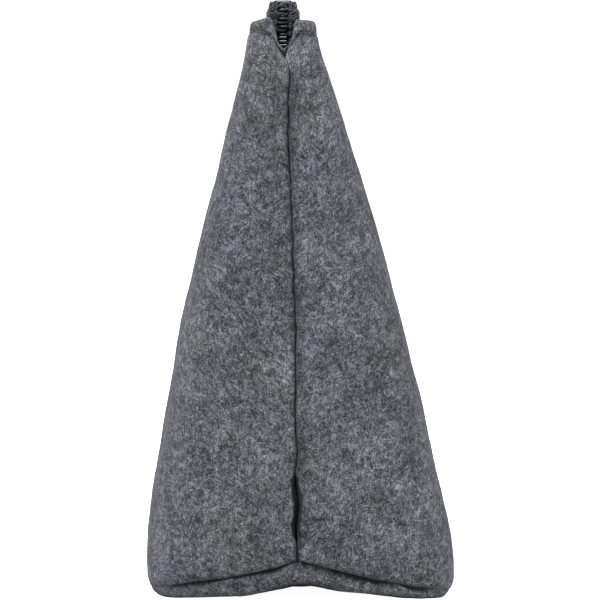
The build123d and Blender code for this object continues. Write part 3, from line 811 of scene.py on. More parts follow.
def base_part():
    grids, uvs, shades = [], [], []
    # all round; each quarter drops the column it shares with the next
    for side, end in ((FRONT, RIGHT), (FRONT, LEFT), (BACK, LEFT), (BACK, RIGHT)):
        step = 1 if side != end else -1
        zone, part = BASE_ZONE[::step][:-1], BASE_PART[::step][:-1]
        outer, outer_uv, shade, top = base_outside(side, end, zone, part)
        inner, inner_uv = base_inside(side, end, zone, part, top)
        grids.append(np.concatenate([outer, inner]))
        uvs.append(np.concatenate([outer_uv, inner_uv]))
        shades.append(np.concatenate([shade, np.zeros(inner.shape[:2])]))
    grid = np.concatenate(grids, axis=1)
    outer_rows = BAND_ROWS + ROUNDING_ROWS + BOTTOM_ROWS
    skin = grid[:outer_rows]
    normals = grid_normals(skin)
    outwards = np.stack([skin[..., 0], skin[..., 1], np.full(skin.shape[:2], -3.0)], -1)
    sign = np.sign((normals * outwards).sum(-1))
    normals = normals * np.where(sign == 0, 1, sign)[..., None]
    row = np.arange(outer_rows)[:, None]
    calm = np.clip(row / 4.0, 0, 1) * (1 - smooth(23, 30, row))
    lumps = (
        noise(skin, 3.6, 31) * 0.06 + noise(skin, 1.6, 32) * 0.045 + noise(skin, 0.85, 33) * 0.03
    )
    skin += normals * (lumps * calm)[..., None]
    skin[..., 2] = np.maximum(skin[..., 2], 0.0)

    # the floor starts a new sheet, so nothing joins it to the last row of the outside
    index, quads = ring_quads(*grid.shape[:2])
    after = np.roll(index, -1, axis=1)
    sheets = np.delete(quads, outer_rows - 1, axis=0).reshape(-1, 4)
    rim = np.stack([index[-1], after[-1], after[0], index[0]], -1)
    piece = make_object(
        "base_felt",
        grid.reshape(-1, 3),
        np.concatenate([sheets, rim]),
        felt_uv=np.concatenate(uvs, axis=1).reshape(-1, 3),
        seam_depth=np.concatenate(shades, axis=1).ravel(),
    )
    return clean_and_face_out(piece)


base_felt = base_part()


# ------------------------------------------------------------------ zipper
# `along` runs along the chain from the middle of the pouch, `across` towards the back from
# the ridge, and `rise` up from the chain's mid height.
ZIP_END = 87.9  # where the chain starts to turn down
TURN_RADIUS = 3.0
TURN_ANGLE = math.radians(86.0)
DROP = 4.5
COIL_TOP, COIL_LOW = 95.4, 93.9
PITCH = 1.25  # from one loop of a coil to the next
COIL_MID = (COIL_TOP + COIL_LOW) / 2
COIL_HALF = 0.75
MID_RADIUS = TURN_RADIUS - (COIL_TOP - COIL_LOW) / 2
TURN_Z = COIL_TOP - TURN_RADIUS
TURN_RUN = MID_RADIUS * TURN_ANGLE
CHAIN_END = ZIP_END + TURN_RUN + DROP + 1.8
SLIDER_X = -76.5
COIL_INNER, COIL_OUTER = -0.60, 2.02  # how far a coil reaches across
WIRE_RADIUS = 0.255
COIL_STEPS = 22  # points per loop
CORD_ACROSS = 1.30
LOCK_ROWS = (1.16, 1.80)
TAPE_THICKNESS = 0.46
RIB_BAND, RIB_SPACING, RIB_SLANT = 0.95, 0.66, 0.75  # the tape's herringbone weave


def chain_angle(along):
    return np.clip(np.asarray(along, float) - ZIP_END, 0, TURN_RUN) / MID_RADIUS


def chain(along, across, rise, end):
    along, across, rise = np.broadcast_arrays(along, across, rise)
    # where it turns down the crown of the chain is rounded, falling away over its sewn edges
    bow = smooth(ZIP_END - 4.0, ZIP_END + 1.0, along)
    rise = rise - 0.58 * bow * (np.clip(np.abs(across) - 1.05, 0, 1.05) / 0.95) ** 2
    across = across - np.sign(across) * 0.12 * bow * smooth(1.9, 2.6, np.abs(across))
    angle = chain_angle(along)
    rest = np.clip(along - ZIP_END - TURN_RUN, 0, None)
    radius = MID_RADIUS + rise
    reach = np.minimum(along, ZIP_END) + radius * np.sin(angle) + rest * np.cos(angle)
    turned_z = TURN_Z + radius * np.cos(angle) - rest * np.sin(angle)
    z = np.where(along <= ZIP_END, COIL_MID + rise, turned_z)
    return np.stack([end * reach, RIDGE_Y + across, z], -1)


def chain_upward(along, end):
    angle = chain_angle(along)
    return np.stack([end * np.sin(angle), np.zeros_like(angle), np.cos(angle)], -1)


def chain_stop(end, short_of_end, past_slider):
    """Where a strand ends: at the chain's end on the right, by the slider on the left."""
    return CHAIN_END - short_of_end if end == RIGHT else -SLIDER_X + past_slider


def quarter_name(prefix, side, end):
    return f"{prefix}_{SIDE_NAME[side]}_{END_NAME[end]}"


def coil_half(side, end):
    """The nylon spiral of one side, from the middle of the pouch to one end of the chain."""
    stop = chain_stop(end, -0.4, 0.8)
    turns = np.arange(int(stop / PITCH) * COIL_STEPS + 1) / COIL_STEPS
    turn = np.floor(turns)
    share = turns - turn
    # the wire crosses and comes back inside half a pitch, then steps on along its back
    step = np.where(
        share < 0.13,
        0.5 * (share / 0.13 - 1),
        np.where(share > 0.87, 0.5 * (share - 0.87) / 0.13, 0.0),
    )
    phase = 0.0 if side == FRONT else 0.5
    along = (turn + 0.5 + step + (phase if end == RIGHT else 1 - phase)) * PITCH
    angle = share * 2 * PI
    centre, spread = (COIL_OUTER + COIL_INNER) / 2, (COIL_OUTER - COIL_INNER) / 2
    across = centre + spread * squared_off(np.cos(angle), 0.62)
    rise = (COIL_HALF - WIRE_RADIUS) * squared_off(np.sin(angle), 0.72)
    # each loop sags and varies very slightly
    rise = rise + 0.012 * np.sin(turn * 2.3 + side) * (share > 0.1)
    keep = along < stop
    along, across, rise = along[keep], side * across[keep], rise[keep]
    points = chain(along, across, rise, end)
    upward = unit(chain(along + 1e-3, across, rise, end) - points)
    # thinner wire on the inside of the turn, where the loops crowd
    crowd = np.clip((along - ZIP_END + 0.6) / 0.6, 0, 1)
    crowd = crowd * np.clip((ZIP_END + TURN_RUN + 0.6 - along) / 0.6, 0, 1)
    radius = WIRE_RADIUS * (1 - 0.22 * crowd * (rise < 0.1))
    wire = tube(points, radius, sides=8, upward=upward, tag=side)
    return clean_and_face_out(join_tubes(quarter_name("coil", side, end), [wire]))


def lock_thread_half(side, end):
    """Two rows of chain stitch that hold a coil down, each two strands that cross every loop."""
    along = np.arange(0.0, chain_stop(end, 0.7, 0.6), PITCH / 9)
    upward = chain_upward(along, end)
    front = side == FRONT
    # the thread rides up over each loop of the wire
    ride = 0.5 + 0.5 * np.cos(2 * PI * (along / PITCH - (0.5 if front else 0.0)))
    tubes = []
    for row in LOCK_ROWS:
        for strand in (0, 1):
            wave = 2 * PI * along / PITCH + (0 if front else PI) + strand * PI
            across = side * (row + 0.19 * np.sin(wave))
            rise = 0.34 + 0.38 * ride + 0.05 * np.cos(wave) - 0.12 * (row == LOCK_ROWS[1])
            points = chain(along, across, rise, end)
            tubes.append(tube(points, 0.115 + 0.03 * ride, sides=7, upward=upward, tag=strand))
    return clean_and_face_out(join_tubes(quarter_name("coil_stitching", side, end), tubes))


def cord_half(side, end):
    """The cord that runs inside a coil."""
    along = np.arange(0.0, chain_stop(end, 0.8, 0.5), 0.35)
    wave = along * 2 * PI / 1.1
    across = side * (CORD_ACROSS + 0.03 * np.sin(wave))
    points = chain(along, across, 0.03 * np.cos(wave), end)
    radius = 0.19 + 0.02 * np.sin(along * 2 * PI / 0.7)
    cord = tube(points, radius, sides=8, upward=chain_upward(along, end))
    return clean_and_face_out(join_tubes(quarter_name("coil_cord", side, end), [cord]))


# across, rise: from the inner edge, over the top, round the shoulder to the leg
TAPE_PATH = np.array([
    (0.60, -0.78), (1.2, -0.78), (1.72, -0.76), (1.95, -0.66), (2.03, -0.48), (2.10, -0.34),
    (2.20, -0.30), (2.32, -0.40), (2.44, -0.60), (2.54, -0.82), (2.60, -1.0),
])
TAPE_TOP_POINTS, TAPE_LEG_POINTS = 18, 26


def tape_outer(along, side):
    """Outer skin of a tape as (across, rise), for every place along the chain."""
    path_run = travelled(TAPE_PATH)
    top = interpolate(np.linspace(0, path_run[-1], TAPE_TOP_POINTS), path_run, TAPE_PATH)
    leg_across, leg_start = TAPE_PATH[-1]
    share = np.linspace(0, 1, TAPE_LEG_POINTS + 1)[1:]
    full_leg, short_leg = COIL_MID - 1.0 - 83.6, 1.2
    leg_length = short_leg + (full_leg - short_leg) * (1 - smooth(76, 87.2, along))
    rise = leg_start - share * leg_length[:, None]
    # the leg follows the wall it is sewn to
    z = COIL_MID + rise
    wall = half_width[side](z) - felt_thickness(z) + side * (middle(z) - RIDGE_Y)
    follow = np.maximum(wall - 0.22, leg_across)
    spread = np.minimum(follow, leg_across + (-rise - 2.2) * 0.22)
    across = np.where(rise < -2.6, spread, leg_across)
    top = np.broadcast_to(top, (len(along), *top.shape))
    return np.concatenate([top, np.stack([across, rise], -1)], axis=1)


def tape_half(side, end):
    """A woven tape: flat under its coil, rolled up beside it and folded down inside the wall."""
    along = np.concatenate([np.arange(0, 80, 0.19), np.arange(80, CHAIN_END, 0.14)])
    outer = tape_outer(along, side)
    width_run = travelled(outer, axis=1)
    tangent = unit(np.gradient(outer, axis=1))
    normal = np.stack([-tangent[..., 1], tangent[..., 0]], -1)
    # herringbone ribs raised on the skin
    zigzag = np.abs(((width_run / RIB_BAND) % 1.0) - 0.5) * 2
    rib = np.sin(2 * PI * (along[:, None] / RIB_SPACING + zigzag * RIB_SLANT))
    relief = 0.055 * rib + 0.02 * np.sin(2 * PI * width_run / 0.32)
    inner = outer - normal * TAPE_THICKNESS
    rings = np.concatenate([outer + normal * relief[..., None], inner[:, ::-1]], axis=1)
    points = chain(along[:, None], side * rings[..., 0], rings[..., 1], end)
    count, sides = points.shape[:2]
    index, quads = ring_quads(count, sides)
    faces = list(quads.reshape(-1, 4))
    for ring in index[[0, -1]]:
        for j in range(sides // 2 - 1):
            faces.append((ring[j], ring[j + 1], ring[sides - 2 - j], ring[sides - 1 - j]))
    width_run = np.concatenate([width_run, width_run[:, ::-1]], axis=1)
    length_run = np.repeat(along[:, None], sides, axis=1)
    run = np.stack([length_run, width_run, np.zeros_like(width_run)], -1).reshape(-1, 3)
    name = quarter_name("zipper_tape", side, end)
    return clean_and_face_out(make_object(name, points.reshape(-1, 3), faces, run=run))


coils, locks, cords, tapes = {}, {}, {}, {}
for quarter in QUARTERS:
    coils[quarter] = coil_half(*quarter)
    locks[quarter] = lock_thread_half(*quarter)
    cords[quarter] = cord_half(*quarter)
    tapes[quarter] = tape_half(*quarter)


# ------------------------------------------------------------------ sewing
def stitches(line, normals, lift, radius, pitch=STITCH_PITCH, length=2.45, start=0.0):
    """Stitches along a line: each rises out of one needle hole and dives into the next."""
    sink = 0.42
    both = np.concatenate([line, normals], 1)
    run = travelled(both)
    stations = np.arange(0, run[-1], 0.1)
    both = interpolate(stations, run, both)
    both[:, 3:] = unit(both[:, 3:])
    tubes = []
    while start + length < stations[-1]:
        places = np.linspace(start, start + length, 11)
        stitch = interpolate(places, stations, both)
        points, upward = stitch[:, :3], stitch[:, 3:]
        share = (places - start) / length
        rise = lift - (sink + lift) * (np.abs(2 * share - 1) ** 5)
        points = points + upward * rise[:, None]
        tubes.append(tube(points, radius, sides=8, upward=upward, tag=start))
        start += pitch
    return tubes


def topstitch(side, end):
    """Stitches in the groove, from the middle of the wall so that both halves meet in step."""
    shape = wall_shapes[side, end]
    line, normals = [], []
    for c in reversed(range(FIRST_LIP, shape.outer.shape[1])):
        z = shape.outer[:, c, 2]
        row = int(np.clip(np.searchsorted(z, shape.groove[c]), 1, len(z) - 1))
        share = (shape.groove[c] - z[row - 1]) / max(z[row] - z[row - 1], 1e-6)
        share = min(max(share, 0), 1)
        line.append(shape.outer[row - 1, c] * (1 - share) + shape.outer[row, c] * share)
        normals.append(shape.normals[row, c])
    tubes = stitches(np.array(line), np.array(normals), lift=0.02, radius=0.19, start=0.3)
    return join_tubes(quarter_name("topstitch", side, end), tubes)


def side_thread(end):
    """Stitches along both seam flaps, inside."""
    tubes = []
    for side in (FRONT, BACK):
        line = wall_shapes[side, end].inner[4:-4, 2]
        normals = np.tile([0.0, float(side), 0.0], (len(line), 1))
        tubes += stitches(line, normals, lift=0.14, radius=0.17)
    return join_tubes("side_seam_stitching_" + END_NAME[end], tubes)


def corner_thread(end):
    """Stitches just above the corner seam, inside."""
    tubes = []
    for side in (FRONT, BACK):
        shape = wall_shapes[side, end]
        line = []
        for c in range(FIRST_FACE + 1, FIRST_CORNER + 5):
            row = int(np.searchsorted(shape.inner[:, c, 2], shape.inner_bottom[c] + 1.0))
            line.append(shape.inner[row, c])
        normals = np.tile([-float(end), 0.0, 0.0], (len(line), 1))
        line = np.array(line)
        tubes += stitches(line, normals, lift=0.14, radius=0.17, pitch=2.8, length=2.2)
    return join_tubes("corner_seam_stitching_" + END_NAME[end], tubes)


topstitches = {quarter: topstitch(*quarter) for quarter in QUARTERS}
side_threads = {end: side_thread(end) for end in (LEFT, RIGHT)}
corner_threads = {end: corner_thread(end) for end in (LEFT, RIGHT)}


# ------------------------------------------------------------------ top stops
STOP_X = SLIDER_X - 4.5 - 1.3
STOP_SIZES = (0.86, 0.95, 0.99, 1, 1, 1, 0.99, 0.95, 0.86)  # of its rings, left to right


def top_stop(side):
    """A bent metal clip pinched over the tape's edge."""
    angle = np.linspace(0, 2 * PI, 17, endpoint=False)
    rings = []
    for x, size in zip(np.linspace(-0.9, 0.9, len(STOP_SIZES)), STOP_SIZES):
        across = 1.30 + 0.58 * size * squared_off(np.cos(angle), 0.55)
        rise = -0.95 + 0.55 * size * squared_off(np.sin(angle), 0.55)
        x_row = np.full(len(angle), STOP_X + x)
        rings.append(np.stack([x_row, RIDGE_Y + side * across, COIL_MID + rise], 1))
    points, faces = capped_rings(np.array(rings))
    name = "top_stop_clip_" + SIDE_NAME[side]
    return clean_and_face_out(make_object(name, points, faces, run=np.zeros_like(points)))


stops = {side: top_stop(side) for side in (FRONT, BACK)}


# ------------------------------------------------------------------ material helpers
class Shader:
    """A material with one Principled surface, and short ways to add nodes to it."""

    def __init__(self, name):
        self.material = bpy.data.materials.new(name)
        self.material.use_nodes = True
        self.tree = self.material.node_tree
        self.tree.nodes.clear()
        output = self.node("ShaderNodeOutputMaterial")
        self.principled = self.node("ShaderNodeBsdfPrincipled")
        self.tree.links.new(self.principled.outputs[0], output.inputs[0])

    def node(self, kind, **settings):
        node = self.tree.nodes.new(kind)
        for key, value in settings.items():
            setattr(node, key, value)
        return node

    def put(self, socket, value):
        """Link or set an input; colours are given as red, green, blue."""
        if isinstance(value, bpy.types.NodeSocket):
            self.tree.links.new(value, socket)
        elif socket.type == "RGBA":
            socket.default_value = (*value, 1.0)
        else:
            socket.default_value = value

    def surface(self, settings):
        for key, value in settings.items():
            self.put(self.principled.inputs[key], value)

    def math(self, operation, *values, clamp=False):
        node = self.node("ShaderNodeMath", operation=operation, use_clamp=clamp)
        for socket, value in zip(node.inputs, values):
            self.put(socket, value)
        return node.outputs[0]

    def total(self, first, *others):
        for other in others:
            first = self.math("ADD", first, other)
        return first

    def times(self, one, other):
        return self.math("MULTIPLY", one, other)

    def swing(self, value, gain):
        """The value's swing about one half, times the gain."""
        return self.times(self.math("SUBTRACT", value, 0.5), gain)

    def wave(self, cycles):
        return self.math("SINE", self.times(cycles, 2 * PI))

    def vector_math(self, operation, one, other):
        node = self.node("ShaderNodeVectorMath", operation=operation)
        self.put(node.inputs[0], one)
        self.put(node.inputs[1], other)
        return node.outputs[0]

    def attribute(self, name, output="Vector"):
        node = self.node("ShaderNodeAttribute", attribute_name=name, attribute_type="GEOMETRY")
        return node.outputs[output]

    def object_place(self):
        return self.node("ShaderNodeTexCoord").outputs["Object"]

    def axes(self, vector):
        node = self.node("ShaderNodeSeparateXYZ")
        self.put(node.inputs[0], vector)
        return node.outputs

    def noise(self, vector, scale, detail=2.0, rough=0.5, output="Fac"):
        node = self.node("ShaderNodeTexNoise")
        self.put(node.inputs["Vector"], vector)
        self.put(node.inputs["Scale"], scale)
        self.put(node.inputs["Detail"], detail)
        self.put(node.inputs["Roughness"], rough)
        return node.outputs[output]

    def remap(self, value, start, stop, low=0.0, high=1.0):
        """start..stop becomes low..high, held at both ends."""
        node = self.node("ShaderNodeMapRange", clamp=True)
        for socket, number in zip(node.inputs, (value, start, stop, low, high)):
            self.put(socket, number)
        return node.outputs[0]

    def mix(self, factor, one, other, blend="MIX"):
        node = self.node("ShaderNodeMix", data_type="RGBA", blend_type=blend)
        for i, value in ((0, factor), (6, one), (7, other)):
            self.put(node.inputs[i], value)
        return node.outputs[2]

    def ramp(self, value, stops, interpolation="LINEAR"):
        """A colour ramp through stops of (position, colour)."""
        node = self.node("ShaderNodeValToRGB")
        elements = node.color_ramp.elements
        node.color_ramp.interpolation = interpolation
        for element, (position, colour) in zip(elements, (stops[0], stops[-1])):
            element.position = position
            element.color = (*colour, 1.0)
        for position, colour in stops[1:-1]:
            elements.new(position).color = (*colour, 1.0)
        self.put(node.inputs[0], value)
        return node.outputs[0]

    def turned(self, vector, angle, scale_x, scale_y, shift=0.0):
        """The vector rotated in its own plane, then scaled along each axis."""
        node = self.node("ShaderNodeMapping", vector_type="POINT")
        self.put(node.inputs["Vector"], vector)
        node.inputs["Rotation"].default_value = (0, 0, angle)
        node.inputs["Location"].default_value = (shift, shift * 0.37, shift * 1.7)
        return self.vector_math("MULTIPLY", node.outputs[0], (scale_x, scale_y, 1.0))

    def bump(self, height, strength, distance):
        node = self.node("ShaderNodeBump")
        self.put(node.inputs["Strength"], strength)
        self.put(node.inputs["Distance"], distance)
        self.put(node.inputs["Height"], height)
        return node.outputs[0]


# ------------------------------------------------------------------ materials
LIGHT_FIBRES = dict(
    angles=(1.32, 0.62, 2.32, 1.80), first_shift=0, shift=13.7, length=2.8, width=0.40, sharp=15.0
)
DARK_FIBRES = dict(
    angles=(1.62, 0.25, 2.75, 0.95), first_shift=5, shift=31.1, length=2.4, width=0.46, sharp=13.0
)
FELT_TONES = [
    (0.08, (0.012, 0.0125, 0.014)),
    (0.26, (0.026, 0.027, 0.0295)),
    (0.43, (0.056, 0.058, 0.062)),
    (0.57, (0.096, 0.099, 0.107)),
    (0.74, (0.172, 0.179, 0.195)),
    (0.92, (0.285, 0.297, 0.325)),
]
# painted light: brighter patches, each with its centre and half sizes in mm, and its gain in
# brightness
PAINTED_LIGHT_PATCHES = (
    ((90.5, -2.2, 87.6), (20.0, 4.8, 5.0), 1.68),
    ((88.0, -8.6, 83.8), (20.0, 3.0, 5.5), 1.30),
    ((84.0, -2.2, 34.3), (20.0, 3.4, 10.0), 1.24),
    ((80.0, 13.6, 15.5), (20.0, 9.5, 12.5), 1.18),
)


def fibre_layers(shader, plane, angles, first_shift, shift, length, width, sharp):
    """For each angle a stretched noise, and the ridges where it crosses one half."""
    noises, ridges = [], []
    for i, angle in enumerate(angles):
        place_in = shader.turned(plane, angle, 1.0 / length, 1.0 / width, shift * i + first_shift)
        value = shader.noise(place_in, 1.0, detail=1.0, rough=0.45)
        off = shader.math("ABSOLUTE", shader.math("SUBTRACT", value, 0.5))
        noises.append(value)
        ridges.append(shader.math("SUBTRACT", 1.0, shader.times(off, sharp), clamp=True))
    return noises, ridges


def strongest(shader, layers):
    first, second, third, fourth = layers
    return shader.math(
        "MAXIMUM", shader.math("MAXIMUM", first, second), shader.math("MAXIMUM", third, fourth)
    )


def felt_painted_shade_and_light(shader):
    """Painted shade in the sewn folds, and painted light in patches at the right end."""
    shade = shader.remap(
        shader.attribute("seam_depth", "Fac"), 0.0, SHADE_LIMIT, low=1.0, high=0.026
    )
    place_in = shader.object_place()
    for centre, size, gain in PAINTED_LIGHT_PATCHES:
        off = shader.vector_math("SUBTRACT", place_in, tuple(v / 1000 for v in centre))
        off = shader.vector_math("MULTIPLY", off, tuple(1000 / v for v in size))
        squares = [shader.times(axis, axis) for axis in shader.axes(off)]
        shade = shader.times(shade, shader.remap(shader.total(*squares), 0.0, 1.0, gain, 1.0))
    combine = shader.node("ShaderNodeCombineColor")
    for socket in combine.inputs[:3]:
        shader.put(socket, shade)
    return combine.outputs[0]


def felt_material():
    """Needled wool and synthetic fibres, light and dark ones crossing each other at random."""
    shader = Shader("felt_melange")
    plane = shader.attribute("felt_uv")
    # curl: the plane the fibres lie in is gently warped
    warp = shader.noise(plane, 0.40, detail=1.0, output="Color")
    scale = shader.node("ShaderNodeVectorMath", operation="SCALE")
    shader.put(scale.inputs[0], shader.vector_math("SUBTRACT", warp, (0.5, 0.5, 0.5)))
    shader.put(scale.inputs["Scale"], 1.5)
    flat_warp = shader.vector_math("MULTIPLY", scale.outputs[0], (1, 1, 0))
    warped = shader.vector_math("ADD", plane, flat_warp)

    light_noise, light_ridge = fibre_layers(shader, warped, **LIGHT_FIBRES)
    dark_noise, dark_ridge = fibre_layers(shader, warped, **DARK_FIBRES)
    # each layer's strands come and go where another layer is strong
    lights, darks = [], []
    for i in range(4):
        near_dark = shader.remap(dark_noise[(i + 1) % 4], 0.40, 0.56)
        near_light = shader.remap(light_noise[(i + 2) % 4], 0.42, 0.58)
        lights.append(shader.times(light_ridge[i], near_dark))
        darks.append(shader.times(dark_ridge[i], near_light))
    light = shader.times(strongest(shader, lights), 0.27)
    dark = shader.times(strongest(shader, darks), 0.30)
    grain = shader.noise(plane, 4.2, detail=2.0, rough=0.7)
    clump = shader.noise(warped, 0.95, detail=3.0, rough=0.6)
    cloud = shader.noise(plane, 0.17, detail=3.0, rough=0.55)
    broad = shader.noise(plane, 0.045, detail=1.0)
    fine = shader.total(shader.math("SUBTRACT", light, dark), shader.swing(grain, 1.05))
    tone = shader.total(
        fine,
        shader.swing(clump, 0.69),
        shader.swing(cloud, 0.42),
        shader.swing(broad, 0.14),
        0.5,
    )
    colour = shader.ramp(tone, FELT_TONES, "B_SPLINE")
    # warmer and cooler fibres
    hue = shader.noise(warped, 1.6, detail=2.0)
    broad_hue = shader.noise(plane, 0.06, detail=1.0)
    warm = shader.remap(shader.total(hue, shader.swing(broad_hue, 0.6)), 0.40, 0.62)
    tint = shader.mix(warm, (0.955, 0.985, 1.085), (1.03, 1.005, 0.965))
    colour = shader.mix(1.0, colour, tint, "MULTIPLY")
    height = shader.total(fine, shader.times(clump, 0.5))
    # the fibres' colour times the painted shade and painted light
    shader.surface({
        "Base Color": shader.mix(1.0, colour, felt_painted_shade_and_light(shader), "MULTIPLY"),
        "Roughness": shader.remap(fine, -0.2, 0.3, low=0.98, high=0.84),
        "Specular IOR Level": 0.16,
        "Sheen Weight": 0.10,
        "Sheen Roughness": 0.45,
        "Sheen Tint": (0.85, 0.9, 1.0),
        "Normal": shader.bump(height, strength=0.8, distance=0.00028),
    })
    return shader.material


def thread_material(name, dark, light, twist, rough=0.7, sheen=0.2, spec=0.4, low=0.2, high=0.85):
    """Twisted thread: light and dark plies wind round it, one turn in each twist of mm."""
    shader = Shader(name)
    length, turn, _ = shader.axes(shader.attribute("run"))
    cycles = shader.total(shader.math("DIVIDE", length, twist), shader.times(turn, 2.0))
    fuzz = shader.noise(shader.object_place(), 2600.0, detail=3.0, rough=0.7)
    tone = shader.total(shader.times(shader.wave(cycles), 0.32), fuzz)
    shader.surface({
        "Base Color": shader.mix(shader.remap(tone, low, high), dark, light),
        "Roughness": shader.remap(fuzz, 0.3, 0.7, rough - 0.1, rough + 0.15),
        "Sheen Weight": sheen,
        "Specular IOR Level": spec,
        "Normal": shader.bump(tone, strength=0.7, distance=0.00006),
    })
    return shader.material


def coil_material():
    shader = Shader("nylon_coil")
    place_in = shader.object_place()
    grain = shader.noise(place_in, 1800.0, detail=3.0, rough=0.6)
    drawn = shader.noise(shader.turned(shader.attribute("run"), 0.0, 0.8, 14.0), 1.0, detail=2.0)
    wear = shader.noise(place_in, 260.0, detail=2.0)
    grain_share = shader.remap(grain, 0.35, 0.75)
    colour = shader.mix(grain_share, (0.004, 0.0045, 0.0055), (0.013, 0.014, 0.017))
    worn = shader.remap(wear, 0.52, 0.75, low=0.0, high=0.3)
    # the last loops sit deep between the walls, out of the light: their reflection is turned down
    # there as painted shade
    height = shader.axes(place_in)[2]
    shader.surface({
        "Base Color": shader.mix(worn, colour, (0.03, 0.031, 0.035)),
        "Roughness": shader.remap(drawn, 0.3, 0.7, low=0.20, high=0.36),
        "Specular IOR Level": shader.remap(height, 0.0886, 0.0908, low=0.09, high=0.46),
        "Normal": shader.bump(shader.total(drawn, grain), strength=0.18, distance=0.00004),
    })
    return shader.material


def tape_material():
    """Black polyester tape in a herringbone weave; the light its floats catch is painted into its
    colour as highlights.
    """
    shader = Shader("woven_tape")
    run = shader.attribute("run")
    along, across, _ = shader.axes(run)
    band = shader.math("FRACT", shader.math("DIVIDE", across, RIB_BAND))
    zigzag = shader.times(shader.math("ABSOLUTE", shader.math("SUBTRACT", band, 0.5)), 2.0)
    rib_run = shader.math("DIVIDE", along, RIB_SPACING)
    rib = shader.wave(shader.total(rib_run, shader.times(zigzag, RIB_SLANT)))
    yarn = shader.math("SINE", shader.times(across, 2 * PI / 0.40))
    pick = shader.math("SINE", shader.times(along, 2 * PI / 0.36))
    fuzz = shader.noise(shader.object_place(), 3200.0, detail=3.0, rough=0.7)
    patch = shader.noise(run, 1.6, detail=2.0)
    weave = shader.total(
        shader.times(rib, 0.33), shader.times(shader.times(yarn, pick), 0.42), fuzz
    )
    # near black weave, with painted highlights at the top of the ramp for the floats' glints
    weave_tones_and_glints = [
        (0.50, (0.0025, 0.003, 0.004)),
        (0.80, (0.016, 0.018, 0.023)),
        (1.0, (0.34, 0.375, 0.43)),
    ]
    shader.surface({
        "Base Color": shader.ramp(shader.total(weave, shader.swing(patch, 0.7)), weave_tones_and_glints),
        "Roughness": shader.remap(fuzz, 0.3, 0.7, low=0.50, high=0.80),
        "Sheen Weight": 0.0,
        "Specular IOR Level": 0.10,
        "Normal": shader.bump(weave, strength=0.9, distance=0.00012),
    })
    return shader.material


def metal_material(name, base, dark, rough):
    """Plated die-cast metal, rubbed brighter in patches, with fine handling scratches."""
    shader = Shader(name)
    place_in = shader.object_place()
    grain = shader.noise(place_in, 1400.0, detail=4.0, rough=0.6)
    cast = shader.noise(place_in, 380.0, detail=2.0)
    stretch = shader.node("ShaderNodeMapping")
    shader.put(stretch.inputs["Vector"], place_in)
    stretch.inputs["Rotation"].default_value = (0.3, 0.2, 0.5)
    stretch.inputs["Scale"].default_value = (260, 5200, 2600)
    scratches = shader.remap(shader.noise(stretch.outputs[0], 1.0, detail=2.0), 0.63, 0.70)
    colour = shader.mix(shader.remap(cast, 0.35, 0.7), dark, base)
    grain_rough = shader.remap(grain, 0.3, 0.7, rough - 0.08, rough + 0.10)
    height = shader.total(cast, shader.times(grain, 0.5))
    shader.surface({
        "Base Color": shader.mix(shader.times(scratches, 0.5), colour, (0.45, 0.45, 0.46)),
        "Metallic": 0.9,
        "Roughness": shader.total(grain_rough, shader.times(scratches, 0.08)),
        "Normal": shader.bump(height, strength=0.25, distance=0.00005),
    })
    return shader.material


FELT_LOOK = felt_material()
COIL_LOOK = coil_material()
TAPE_LOOK = tape_material()
# black lock thread, its twist shown by plies whose light colour is painted glints
LOCK_LOOK = thread_material(
    "lock_thread", dark=(0.0015, 0.0017, 0.0025), light=(0.19, 0.21, 0.258),
    twist=0.62, rough=0.45, sheen=0.0, spec=0.22, low=0.56, high=0.98,
)
CORD_LOOK = thread_material(
    "filler_cord", dark=(0.010, 0.010, 0.012), light=(0.06, 0.06, 0.065), twist=0.9
)
SEWING_LOOK = thread_material(
    "grey_thread", dark=(0.012, 0.0125, 0.014), light=(0.070, 0.073, 0.080), twist=0.8
)
METAL_LOOK = metal_material(
    "gunmetal", base=(0.20, 0.20, 0.205), dark=(0.11, 0.11, 0.115), rough=0.34
)
SPRING_LOOK = metal_material(
    "spring_steel", base=(0.55, 0.55, 0.56), dark=(0.42, 0.42, 0.43), rough=0.28
)


def hang(piece, material, node, side=None):
    """Dress a piece and fix it to the base; a piece with a side only has its placement baked in."""
    piece.data.materials.append(material)
    if side is None:
        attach(piece, "base")
    else:
        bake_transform(piece)
    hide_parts(node)


for side, end in QUARTERS:
    who = SIDE_NAME[side]
    for group, material, slot_name, node in (
        (walls, FELT_LOOK, "felt", who + "_panel"),
        (tapes, TAPE_LOOK, "tape", "zipper_tape_" + who),
        (coils, COIL_LOOK, "coil", "zipper_coil_" + who),
        (locks, LOCK_LOOK, "zip_thread", "coil_lock_thread_" + who),
        (cords, CORD_LOOK, "cord", "coil_cord_" + who),
        (topstitches, SEWING_LOOK, "felt_thread", "topstitch_" + who),
    ):
        hang(group[side, end], material, node, side)
hang(base_felt, FELT_LOOK, "base_panel")
for end, tag in END_NAME.items():
    hang(side_threads[end], SEWING_LOOK, "side_seam_thread_" + tag)
    hang(corner_threads[end], SEWING_LOOK, "corner_seam_thread_" + tag)
for side, tag in SIDE_NAME.items():
    hang(stops[side], METAL_LOOK, "top_stop_" + tag, side)

# the slider keeps its own pieces, dressed and with rounded edges
for node, material, width in (
    ("slider_body", METAL_LOOK, 0.22),
    ("slider_crown", METAL_LOOK, 0.20),
    ("slider_lock_spring", SPRING_LOOK, 0.05),
    ("slider_pull", METAL_LOOK, 0.22),
):
    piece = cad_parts[node]
    if piece.material_slots:
        for slot in piece.material_slots:
            slot.material = material
    else:
        piece.data.materials.append(material)
    bevel = piece.modifiers.new("rounded", "BEVEL")
    bevel.width = width * MM
    bevel.segments = 3
    bevel.limit_method = "ANGLE"
    bevel.angle_limit = math.radians(35)
    bevel.harden_normals = False


